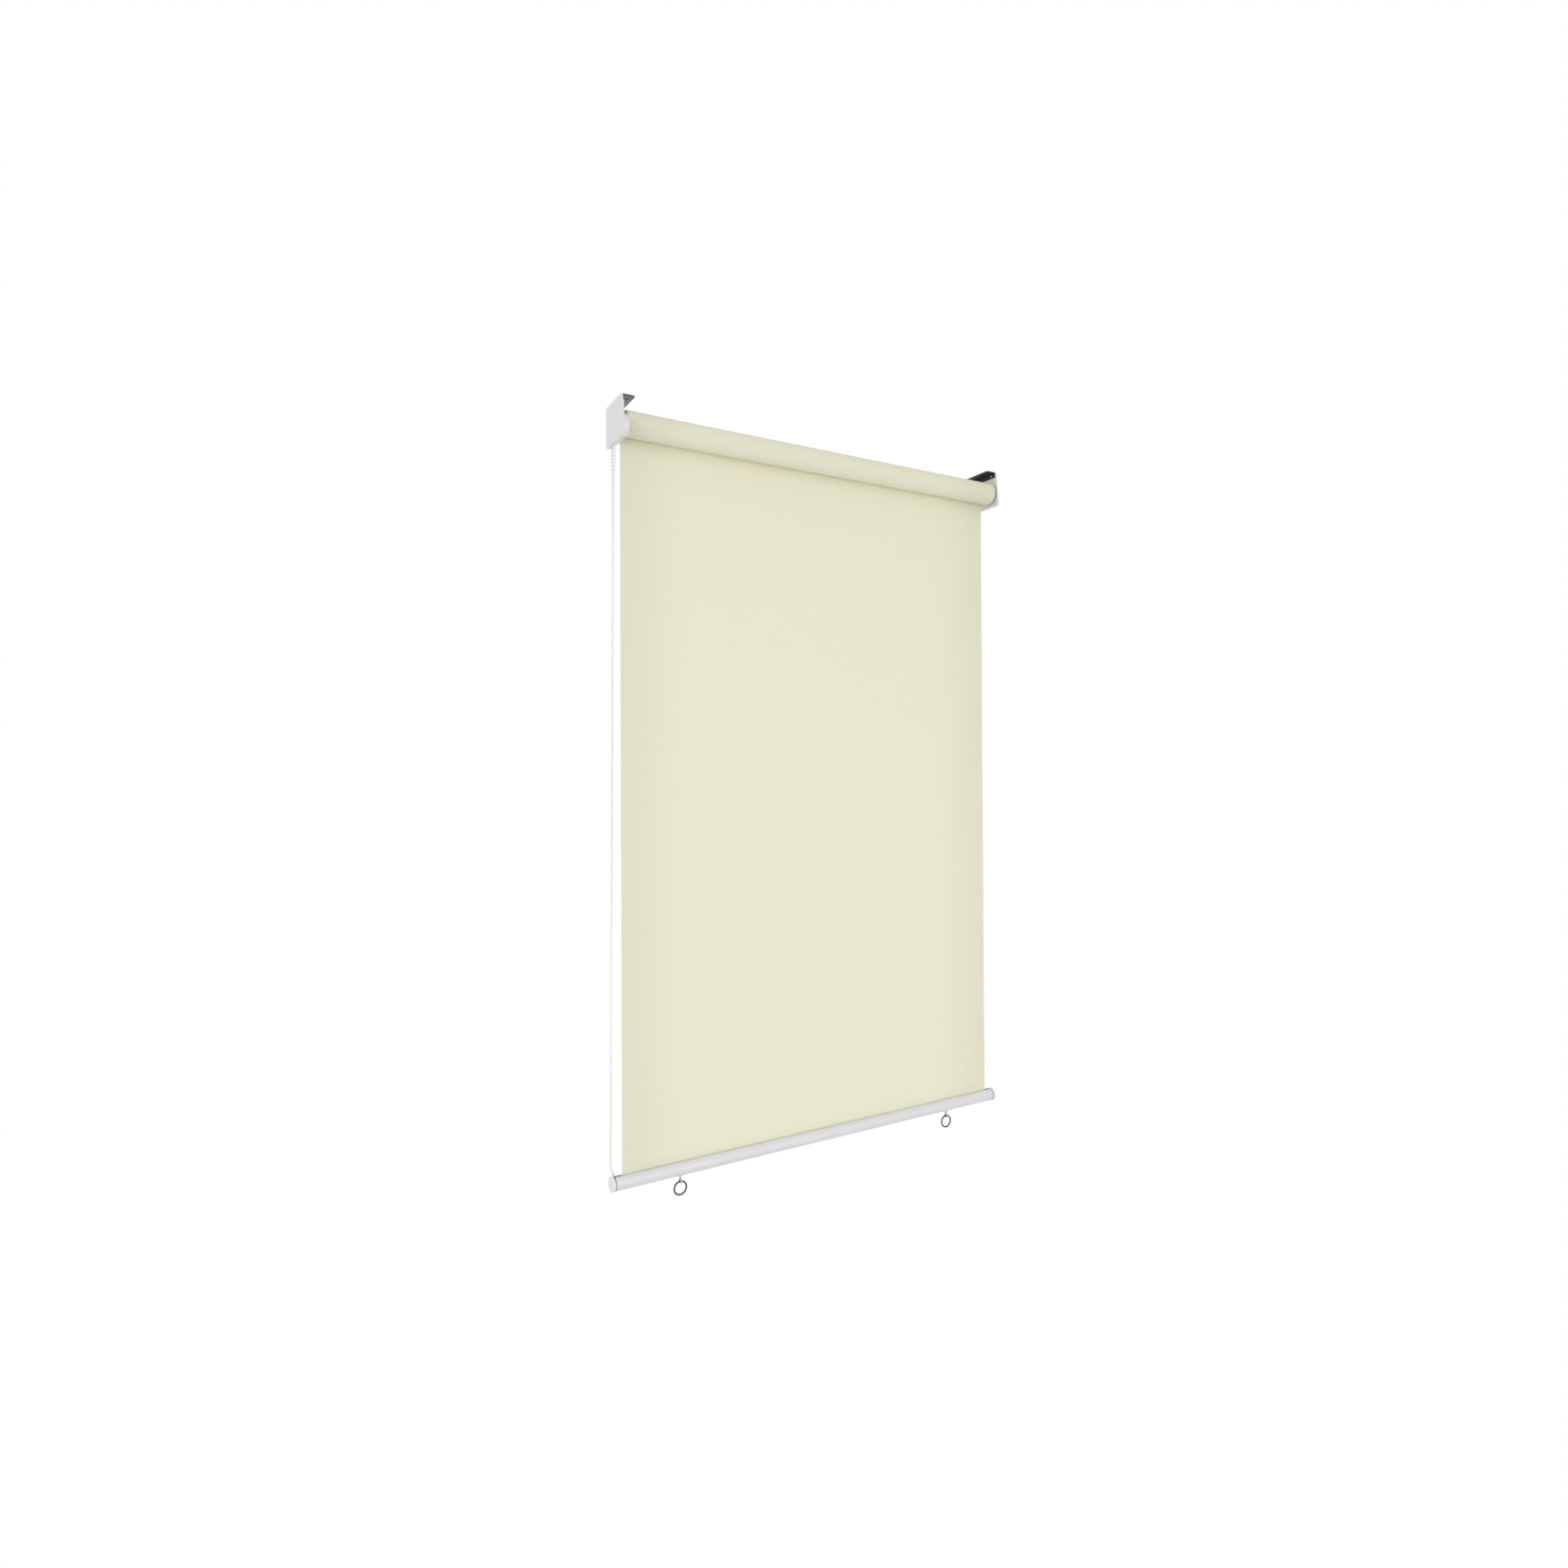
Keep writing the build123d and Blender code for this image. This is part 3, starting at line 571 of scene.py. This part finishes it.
def make_finishes(settings):
    """Builds each finish once and keeps it by its plain name."""
    if FINISHES:
        return FINISHES
    weave, grain, lines = weave_group(), mottle_group(), draw_lines_group()
    finish, cloth = settings.finish, settings.cloth
    # Each row: name, group, colour, roughness, size of the grain, tone of its dark places
    FINISHES.update(
        cloth_face=woven("cloth_face", weave, cloth.face, cloth),
        cloth_reverse=woven("cloth_reverse", weave, cloth.reverse, cloth),
        housing=grained("housing_plastic", grain, finish.housing, 0.46, 1500.0, 0.965),
        cap=grained("cap_plastic", grain, finish.cap, 0.40, 1500.0, 0.96),
        wheel=grained("wheel_plastic", grain, finish.wheel, 0.42, 1700.0, 0.95),
        core=grained("clutch_plastic", grain, finish.core, 0.50, 1700.0, 0.85),
        beads=grained("chain_plastic", grain, settings.chain.colour, 0.30, 900.0, 0.95),
        angle=grained("angle_paint", grain, finish.angle, 0.38, 2200.0, 0.70, depth=2 * GRAIN_DEPTH),
        bar=coated_bar("bar_coat", lines, finish.bar, finish.painted_slot_shade),
        tube=grained("tube_aluminium", lines, finish.tube, 0.36, 1.0, 0.88, 1.0),
        steel=grained("plain_steel", grain, finish.steel, 0.34, 2600.0, 0.85, 1.0),
        tab=grained("zinc_plate", grain, finish.tab, 0.36, 900.0, 0.82, 1.0),
        ring=grained("dark_wire", grain, finish.ring, 0.22, 2600.0, 0.78, 1.0, GRAIN_DEPTH / 2),
    )
    return FINISHES


# ---- mesh helpers --------------------------------------------------------------------------------


def settings_of(context):
    """The blind's settings in the open scene."""
    return context.scene.roller_blind


def add_object(name, data):
    """A new object in the scene that shows a mesh, a light or a camera."""
    piece = bpy.data.objects.new(name, data)
    bpy.context.scene.collection.objects.link(piece)
    return piece


def strip_mesh(name, path, stations, thickness, across=None):
    """A ribbon of cloth: path holds (y, z, normal_y, normal_z, length) along it, stations x across it.

    across(x, step) gives the ribbon's shift out of its plane and the station's own x."""
    mesh = bmesh.new()
    layer = mesh.loops.layers.uv.new("cloth")
    half = thickness / 2
    rows = []
    for step, (y, z, out_y, out_z, along) in enumerate(path):
        row = []
        for x in stations:
            shift, place = across(x, step) if across else (0.0, x)
            pair = []
            for way in (half, -half):
                lift = shift + way
                pair.append(mesh.verts.new((place, y + out_y * lift, z + out_z * lift)))
            row.append((pair, place, along))
        rows.append(row)

    def quad(corners):
        face = mesh.faces.new([vertex for vertex, _, _ in corners])
        face.smooth = True
        for loop, (_, u, v) in zip(face.loops, corners):
            loop[layer].uv = (u, v)

    def corner(step, station, way):
        pair, place, along = rows[step][station]
        return pair[way], place, along

    def rim(start, end):
        quad([corner(*start, 0), corner(*end, 0), corner(*end, 1), corner(*start, 1)])

    last_step, last_station = len(rows) - 1, len(stations) - 1
    for step in range(last_step):
        for station in range(last_station):
            a, b = (step, station), (step, station + 1)
            c, d = (step + 1, station + 1), (step + 1, station)
            quad([corner(*place, 0) for place in (a, b, c, d)])
            quad([corner(*place, 1) for place in (d, c, b, a)])
    for step in range(last_step):
        rim((step, 0), (step + 1, 0))
        rim((step + 1, last_station), (step, last_station))
    for station in range(last_station):
        rim((0, station + 1), (0, station))
        rim((last_step, station), (last_step, station + 1))
    bmesh.ops.recalc_face_normals(mesh, faces=mesh.faces)
    for edge in mesh.edges:
        edge.smooth = edge.calc_face_angle() < CREASE
    data = bpy.data.meshes.new(name)
    mesh.to_mesh(data)
    mesh.free()
    return data


def stations_between(low, high, count):
    """Even places from low to high, with this many gaps between them."""
    return [low + (high - low) * step / count for step in range(count + 1)]


def finished_mesh(maker):
    """The plain mesh of an object with its curve and modifiers worked out."""
    bpy.context.view_layer.update()
    return bpy.data.meshes.new_from_object(maker.evaluated_get(bpy.context.evaluated_depsgraph_get()))


def spline_points(route):
    """Points along the smooth line that has the route as its control points."""
    curve = bpy.data.curves.new("chain_line", "CURVE")
    curve.dimensions = "3D"
    spline = curve.splines.new("NURBS")
    spline.points.add(len(route) - 1)
    for point, place in zip(spline.points, route):
        point.co = (*place, 1.0)
    spline.order_u = CHAIN_ORDER
    spline.use_endpoint_u = True
    spline.resolution_u = CHAIN_STEPS
    line = add_object("chain_line", curve)
    mesh = finished_mesh(line)
    points = [vertex.co.copy() for vertex in mesh.vertices]
    bpy.data.objects.remove(line)
    bpy.data.curves.remove(curve)
    bpy.data.meshes.remove(mesh)
    return points


def polyline(name, points):
    """A mesh of edges from point to point."""
    mesh = bpy.data.meshes.new(name)
    edges = [(start, start + 1) for start in range(len(points) - 1)]
    mesh.from_pydata([tuple(point) for point in points], edges, [])
    return mesh


def geometry_group(name, sizes):
    """A new geometry node group with one socket for each size, and its sheet, entry and exit."""
    tree = bpy.data.node_groups.new(name, "GeometryNodeTree")
    tree.interface.new_socket("Geometry", in_out="INPUT", socket_type="NodeSocketGeometry")
    for label in sizes:
        socket = tree.interface.new_socket(label, in_out="INPUT", socket_type="NodeSocketFloat")
        socket.subtype = "DISTANCE"
    tree.interface.new_socket("Geometry", in_out="OUTPUT", socket_type="NodeSocketGeometry")
    sheet = NodeSheet(tree)
    return tree, sheet, sheet.add("NodeGroupInput"), sheet.add("NodeGroupOutput")


def line_of(sheet, entry):
    """The curve along the edges that come in."""
    line = sheet.add("GeometryNodeMeshToCurve")
    sheet.link(entry.outputs["Geometry"], line.inputs["Mesh"])
    return line.outputs["Curve"]


def wire_along(sheet, curve, radius, sides):
    """A round wire with closed ends along a curve."""
    section = sheet.add("GeometryNodeCurvePrimitiveCircle")
    section.inputs["Resolution"].default_value = sides
    sheet.link(radius, section.inputs["Radius"])
    wire = sheet.add("GeometryNodeCurveToMesh")
    sheet.link(curve, wire.inputs["Curve"])
    sheet.link(section.outputs["Curve"], wire.inputs["Profile Curve"])
    wire.inputs["Fill Caps"].default_value = True
    return wire.outputs["Mesh"]


def close_group(sheet, exit_node, geometry, material):
    """Makes the geometry real, smooth and coloured, and puts it out."""
    real = sheet.add("GeometryNodeRealizeInstances")
    sheet.link(geometry, real.inputs[0])
    smooth = sheet.add("GeometryNodeSetShadeSmooth")
    sheet.link(real.outputs[0], smooth.inputs["Geometry"])
    coloured = sheet.add("GeometryNodeSetMaterial")
    coloured.inputs["Material"].default_value = material
    sheet.link(smooth.outputs["Geometry"], coloured.inputs["Geometry"])
    sheet.link(coloured.outputs["Geometry"], exit_node.inputs["Geometry"])


def bead_tree(material):
    """Geometry nodes that string beads and their thread along a line of edges."""
    tree, sheet, entry, exit_node = geometry_group(
        "bead_string", ("Pitch", "Bead Radius", "Thread Radius")
    )
    spaced = sheet.add("GeometryNodeResampleCurve", mode="LENGTH")
    sheet.link(line_of(sheet, entry), spaced.inputs["Curve"])
    sheet.link(entry.outputs["Pitch"], spaced.inputs["Length"])
    ball = sheet.add("GeometryNodeMeshUVSphere")
    ball.inputs["Segments"].default_value = BEAD_SEGMENTS
    ball.inputs["Rings"].default_value = BEAD_RINGS
    sheet.link(entry.outputs["Bead Radius"], ball.inputs["Radius"])
    beads = sheet.add("GeometryNodeInstanceOnPoints")
    sheet.link(spaced.outputs["Curve"], beads.inputs["Points"])
    sheet.link(ball.outputs["Mesh"], beads.inputs["Instance"])
    thread = wire_along(sheet, spaced.outputs["Curve"], entry.outputs["Thread Radius"], THREAD_SIDES)
    both = sheet.add("GeometryNodeJoinGeometry")
    sheet.link(beads.outputs["Instances"], both.inputs[0])
    sheet.link(thread, both.inputs[0])
    close_group(sheet, exit_node, both.outputs[0], material)
    return tree


def wire_tree(material):
    """Geometry nodes that run a round wire along a line of edges."""
    tree, sheet, entry, exit_node = geometry_group("round_wire", ("Wire Radius",))
    wire = wire_along(sheet, line_of(sheet, entry), entry.outputs["Wire Radius"], COIL_SIDES)
    close_group(sheet, exit_node, wire, material)
    return tree


def grow(name, points, tree, sizes):
    """A plain mesh of what the tree makes along the points, with the tree's inputs set by name."""
    maker = add_object(name + "_line", polyline(name + "_line", points))
    modifier = maker.modifiers.new("grow", "NODES")
    modifier.node_group = tree
    for item in tree.interface.items_tree:
        if item.in_out == "INPUT" and item.name in sizes:
            modifier[item.identifier] = sizes[item.name]
    mesh = finished_mesh(maker)
    mesh.name = name
    if not mesh.polygons:
        raise RuntimeError(f"{name}: the tree made no faces")
    line = maker.data
    bpy.data.objects.remove(maker)
    bpy.data.meshes.remove(line)
    return add_object(name, mesh)


def roller_point(x, radius, angle):
    """A point round the roller's axis, its angle counted upwards from the wall side."""
    return Vector(
        (x, ROLLER_AXIS.y + radius * math.cos(angle), ROLLER_AXIS.z + radius * math.sin(angle))
    )


def coil_line(node, wire, turns):
    """The middle of a spring's wire: a coil along the roller in the node's box, its end turns closed."""
    low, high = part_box(node)
    radius = (high.y - low.y - wire) / 2
    start, end = low.x + wire / 2, high.x - wire / 2 - COIL_GAP
    close_pitch = wire * CLOSE_SHARE
    open_pitch = (end - start - 2 * close_pitch) / (turns - 2)
    points = []
    for step in range(turns * COIL_STEPS + 1):
        turn = step / COIL_STEPS
        opened = min(max(turn - 1, 0), turns - 2)
        place = start + close_pitch * (turn - opened) + open_pitch * opened
        points.append(roller_point(place, radius, math.pi / 2 - 2 * math.pi * turn))
    return points


def ring_mesh(name, centre, radius, wire):
    """A closed ring of round wire that faces along Y, a little thicker at its weld."""
    ring = bmesh.new()
    loops = []
    for step in range(RING_STEPS):
        angle = 2 * math.pi * step / RING_STEPS
        weld = math.exp(-(((angle - WELD_ANGLE) / WELD_SPREAD) ** 2))
        thick = wire * (1.0 + WELD_RISE * weld)
        loop = []
        for side in range(RING_SIDES):
            turn = 2 * math.pi * side / RING_SIDES
            out = radius + thick * math.cos(turn)
            offset = Vector((out * math.cos(angle), thick * math.sin(turn), out * math.sin(angle)))
            loop.append(ring.verts.new(centre + offset))
        loops.append(loop)
    for here, there in zip(loops, loops[1:] + loops[:1]):
        for side in range(RING_SIDES):
            after = (side + 1) % RING_SIDES
            face = ring.faces.new((here[side], here[after], there[after], there[side]))
            face.smooth = True
    bmesh.ops.recalc_face_normals(ring, faces=ring.faces)
    mesh = bpy.data.meshes.new(name)
    ring.to_mesh(mesh)
    ring.free()
    return mesh


# ---- operators -----------------------------------------------------------------------------------


class BLIND_OT_cloth(bpy.types.Operator):
    """Hang the cloth from the back of the roll to the bottom bar"""

    bl_idname = "roller_blind.cloth"
    bl_label = "Hang Cloth"

    def execute(self, context):
        settings = settings_of(context)
        cloth, finishes = settings.cloth, make_finishes(settings)
        top = SHEET_HIGH.z
        middle = (SHEET_LOW.y + SHEET_HIGH.y) / 2
        heights = stations_between(top, SHEET_LOW.z, cloth.rows)
        path = [(middle, height, -1.0, 0.0, top - height) for height in heights]

        def wave(x, step):
            share = step / cloth.rows
            calm = min(1.0, share * CALM_RATE, (1.0 - share) * CALM_RATE)
            drift = noise.noise(Vector((x * RIPPLE_ACROSS, share * RIPPLE_DOWN, RIPPLE_PLACE)))
            return cloth.ripple * calm * drift, x

        stations = stations_between(SHEET_LOW.x, SHEET_HIGH.x, cloth.columns)
        piece = add_object("blind_cloth", strip_mesh("blind_cloth", path, stations, THICKNESS, wave))
        piece.data.materials.append(finishes["cloth_face"])
        piece.data.materials.append(finishes["cloth_reverse"])
        for face in piece.data.polygons:
            faces_wall = face.normal.y > abs(face.normal.x) and face.normal.y > abs(face.normal.z)
            face.material_index = 1 if faces_wall else 0
        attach(piece, "frame")
        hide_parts("fabric_sheet")
        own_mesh(piece)
        return {"FINISHED"}


class BLIND_OT_roll(bpy.types.Operator):
    """Wind the turns of cloth that stay on the tube"""

    bl_idname = "roller_blind.roll"
    bl_label = "Wind Roll"

    def execute(self, context):
        settings = settings_of(context)
        cloth, finishes = settings.cloth, make_finishes(settings)
        outer = (SHEET_LOW.y + SHEET_HIGH.y) / 2 - ROLLER_AXIS.y
        tube_low, tube_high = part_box("roller_tube")
        tube = (tube_high.z - tube_low.z) / 2
        pitch = (SHEET_LOW.y - ROLLER_AXIS.y - tube) / ROLL_TURNS
        path, along = [], 0.0
        for step in range(ROLL_TURNS * cloth.turn_steps + 1):
            turn = step / cloth.turn_steps
            angle = 2 * math.pi * turn
            radius = outer - pitch * turn
            place = roller_point(0.0, radius, angle)
            path.append((place.y, place.z, math.cos(angle), math.sin(angle), along))
            along -= 2 * math.pi * radius / cloth.turn_steps

        def wind(x, step):
            turn = step / cloth.turn_steps
            if turn < FLUSH_SHARE:
                return 0.0, x
            first, last = STAGGER_PLACE
            uneven = 0.5 + 0.5 * noise.noise(Vector((first, turn * STAGGER_RATE, last)))
            return 0.0, x * (1.0 - cloth.stagger * uneven / HALF_WIDTH)

        stations = stations_between(SHEET_LOW.x, SHEET_HIGH.x, PLAIN_COLUMNS)
        piece = add_object("cloth_roll", strip_mesh("cloth_roll", path, stations, THICKNESS, wind))
        piece.data.materials.append(finishes["cloth_reverse"])
        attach(piece, "roller")
        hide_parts("fabric_roll")
        return {"FINISHED"}


class BLIND_OT_hem(bpy.types.Operator):
    """Fold the hem round its rod in the bar's channel"""

    bl_idname = "roller_blind.hem"
    bl_label = "Fold Hem"

    def execute(self, context):
        finishes = make_finishes(settings_of(context))
        middle = (HEM_LOW.y + HEM_HIGH.y) / 2
        radius = (HEM_HIGH.y - HEM_LOW.y) / 2 - THICKNESS / 2
        centre = HEM_LOW.z + radius + THICKNESS / 2
        lean = math.asin(THICKNESS / 2 / radius)
        top = HEM_HIGH.z - SEAM_GAP
        neck = centre + radius * math.cos(lean)
        path = []
        for height in stations_between(top, neck, FLAP_ROWS):
            path.append((middle - THICKNESS / 2, height, -1.0, 0.0, top - height))
        start, sweep = math.pi / 2 + lean, 2 * math.pi - 2 * lean
        for step in range(1, FOLD_STEPS):
            turned = sweep * step / FOLD_STEPS
            out_y, out_z = math.cos(start + turned), math.sin(start + turned)
            along = top - neck + radius * turned
            path.append((middle + radius * out_y, centre + radius * out_z, out_y, out_z, along))
        along = top - neck + radius * sweep
        for height in stations_between(neck, top, FLAP_ROWS):
            path.append((middle + THICKNESS / 2, height, 1.0, 0.0, along + height - neck))
        stations = stations_between(HEM_LOW.x, HEM_HIGH.x, PLAIN_COLUMNS)
        piece = add_object("cloth_hem", strip_mesh("cloth_hem", path, stations, THICKNESS * HEM_SHARE))
        piece.data.materials.append(finishes["cloth_face"])
        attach(piece, "bottom_bar")
        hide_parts("fabric_hem")
        return {"FINISHED"}


class BLIND_OT_chain(bpy.types.Operator):
    """String the bead chain over its wheel and posts"""

    bl_idname = "roller_blind.chain"
    bl_label = "String Chain"

    def execute(self, context):
        settings = settings_of(context)
        chain, finishes = settings.chain, make_finishes(settings)
        tree = bead_tree(finishes["beads"])
        points = spline_points(CHAIN_ROUTE)
        sizes = {
            "Pitch": chain.pitch, "Bead Radius": chain.bead / 2, "Thread Radius": chain.thread / 2
        }
        piece = grow("bead_chain_loop", points, tree, sizes)
        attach(piece, "frame")
        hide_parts("bead_chain")

        place = CHAIN_ROUTE[0][0]
        radius = chain.pitch / (2 * math.sin(math.pi / WHEEL_POCKETS))
        wrap = [
            roller_point(place, radius, math.pi / 2 + 2 * math.pi * pocket / WHEEL_POCKETS)
            for pocket in range(FILLED_POCKETS)
        ]
        lead = wrap[0] + Vector((0.0, chain.pitch, 0.0))
        tail = wrap[-1] + Vector((0.0, chain.pitch, chain.pitch * TAIL_RISE))
        seated = grow("bead_chain_on_wheel", [lead, *wrap, tail], tree, sizes)
        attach(seated, "frame")
        return {"FINISHED"}


class BLIND_OT_rings(bpy.types.Operator):
    """Bend the two tie-down rings"""

    bl_idname = "roller_blind.rings"
    bl_label = "Bend Rings"

    def execute(self, context):
        finishes = make_finishes(settings_of(context))
        for side in ("left", "right"):
            low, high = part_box("ring_" + side)
            centre, wire = (low + high) / 2, (high.y - low.y) / 2
            mesh = ring_mesh("tie_ring_" + side, centre, (high.x - low.x) / 2 - wire, wire)
            piece = add_object("tie_ring_" + side, mesh)
            mesh.materials.append(finishes["ring"])
            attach(piece, "ring_" + side)
            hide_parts("ring_" + side)
        return {"FINISHED"}


class BLIND_OT_springs(bpy.types.Operator):
    """Coil the brake spring on the clutch core and the idle spring behind its pin"""

    bl_idname = "roller_blind.springs"
    bl_label = "Coil Springs"

    def execute(self, context):
        settings = settings_of(context)
        springs, finishes = settings.springs, make_finishes(settings)
        tree = wire_tree(finishes["steel"])

        line = coil_line("brake_spring", springs.brake_wire, springs.brake_turns)
        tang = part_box("brake_spring")[1].z
        line.insert(0, Vector((line[0].x, line[0].y, tang)))
        brake = grow("brake_coil", line, tree, {"Wire Radius": springs.brake_wire / 2})
        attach(brake, "roller")
        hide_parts("brake_spring")

        line = coil_line("idle_spring", springs.idle_wire, springs.idle_turns)
        idle = grow("idle_coil", line, tree, {"Wire Radius": springs.idle_wire / 2})
        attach(idle, "roller")
        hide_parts("idle_spring")
        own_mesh(idle)
        return {"FINISHED"}


class BLIND_OT_finishes(bpy.types.Operator):
    """Give each solid of the frame its finish"""

    bl_idname = "roller_blind.finishes"
    bl_label = "Apply Finishes"

    def execute(self, context):
        finishes = make_finishes(settings_of(context))
        groups = {
            "housing": ("housing_left", "housing_right"),
            "cap": ("end_cap_left", "end_cap_right"),
            "wheel": ("chain_wheel", "drive_plug", "idle_plug"),
            "core": ("clutch_core", "hem_rod"),
            "angle": ("angle_left", "angle_right"),
            "steel": ("angle_screws", "idle_pin"),
            "bar": ("bottom_bar",),
            "tube": ("roller_tube",),
            "tab": ("ring_tab_left", "ring_tab_right"),
        }
        for finish, names in groups.items():
            for name in names:
                node = frame["nodes"][name]
                if not node.material_slots:
                    node.data.materials.append(finishes[finish])
                for slot in node.material_slots:
                    slot.material = finishes[finish]
        return {"FINISHED"}


class BLIND_OT_stage(bpy.types.Operator):
    """Set the camera, the white studio and its light"""

    bl_idname = "roller_blind.stage"
    bl_label = "Set Stage"

    def execute(self, context):
        stage = settings_of(context).stage
        scene = context.scene
        scene.view_settings.view_transform = "Standard"

        camera = bpy.data.cameras.new("studio_camera")
        camera.sensor_width = SENSOR_WIDTH
        camera.lens = stage.lens
        camera.shift_x, camera.shift_y = stage.shift
        holder = add_object("studio_camera", camera)
        turn = Matrix.Rotation(-stage.yaw, 4, "Z") @ Matrix.Rotation(math.pi / 2 + stage.pitch, 4, "X")
        holder.matrix_world = Matrix.Translation(stage.place) @ turn @ Matrix.Rotation(stage.roll, 4, "Z")
        scene.camera = holder

        world = bpy.data.worlds.new("studio_white")
        world.use_nodes = True
        scene.world = world
        sheet = NodeSheet(world.node_tree)
        world.node_tree.nodes.clear()
        backdrop = sheet.add("ShaderNodeBackground")
        backdrop.inputs["Color"].default_value = WHITE
        dome = sheet.add("ShaderNodeBackground")
        dome.inputs["Color"].default_value = WHITE
        dome.inputs["Strength"].default_value = stage.dome
        show_white(sheet, dome, backdrop, sheet.add("ShaderNodeOutputWorld"))

        floor_mesh = bpy.data.meshes.new("studio_floor")
        level = CAD_LOW.z - stage.floor
        signs = ((-1, -1), (1, -1), (1, 1), (-1, 1))
        corners = [(x * FLOOR_REACH, y * FLOOR_REACH, level) for x, y in signs]
        floor_mesh.from_pydata(corners, [], [(0, 1, 2, 3)])
        floor = add_object("studio_floor", floor_mesh)
        material, sheet, shader = new_finish("studio_floor")
        output = next(node for node in material.node_tree.nodes if node.type == "OUTPUT_MATERIAL")
        shader.inputs["Base Color"].default_value = FLOOR_GREY
        shader.inputs["Roughness"].default_value = FLOOR_ROUGHNESS
        show_white(sheet, shader, sheet.add("ShaderNodeEmission"), output)
        floor_mesh.materials.append(material)

        for name, power, place, target, size in LIGHTS:
            light = bpy.data.lights.new(name, "AREA")
            light.shape = "RECTANGLE"
            light.size, light.size_y = size
            light.energy = getattr(stage, power)
            lamp = add_object(name, light)
            aim = (Vector(target) - Vector(place)).to_track_quat("-Z", "Y")
            lamp.matrix_world = Matrix.Translation(place) @ aim.to_matrix().to_4x4()
            lamp.visible_camera = False
        return {"FINISHED"}


class BLIND_PT_panel(bpy.types.Panel):
    """Lists the blind's settings and steps"""

    bl_idname = "BLIND_PT_panel"
    bl_label = "Roller Blind"
    bl_space_type = "VIEW_3D"
    bl_region_type = "UI"
    bl_category = "Roller Blind"

    def draw(self, context):
        settings = settings_of(context)
        for label in ("cloth", "chain", "springs", "finish", "stage"):
            group = getattr(settings, label)
            column = self.layout.column(align=True)
            column.label(text=label.capitalize())
            for key in group.__annotations__:
                column.prop(group, key)
        for operator in OPERATORS:
            self.layout.operator(operator.bl_idname)


OPERATORS = (
    BLIND_OT_stage,
    BLIND_OT_chain,
    BLIND_OT_roll,
    BLIND_OT_hem,
    BLIND_OT_cloth,
    BLIND_OT_rings,
    BLIND_OT_springs,
    BLIND_OT_finishes,
)
CLASSES = (
    BlindClothSettings,
    BlindChainSettings,
    BlindSpringSettings,
    BlindFinishSettings,
    BlindStageSettings,
    RollerBlindSettings,
    *OPERATORS,
    BLIND_PT_panel,
)


def register():
    for item in CLASSES:
        bpy.utils.register_class(item)
    bpy.types.Scene.roller_blind = PointerProperty(type=RollerBlindSettings)


def unregister():
    del bpy.types.Scene.roller_blind
    for item in reversed(CLASSES):
        bpy.utils.unregister_class(item)


def main():
    register()
    bpy.ops.roller_blind.stage()
    bpy.ops.roller_blind.chain()
    bpy.ops.roller_blind.roll()
    bpy.ops.roller_blind.hem()
    bpy.ops.roller_blind.cloth()
    bpy.ops.roller_blind.rings()
    bpy.ops.roller_blind.springs()
    bpy.ops.roller_blind.finishes()


if __name__ == "__main__":
    main()
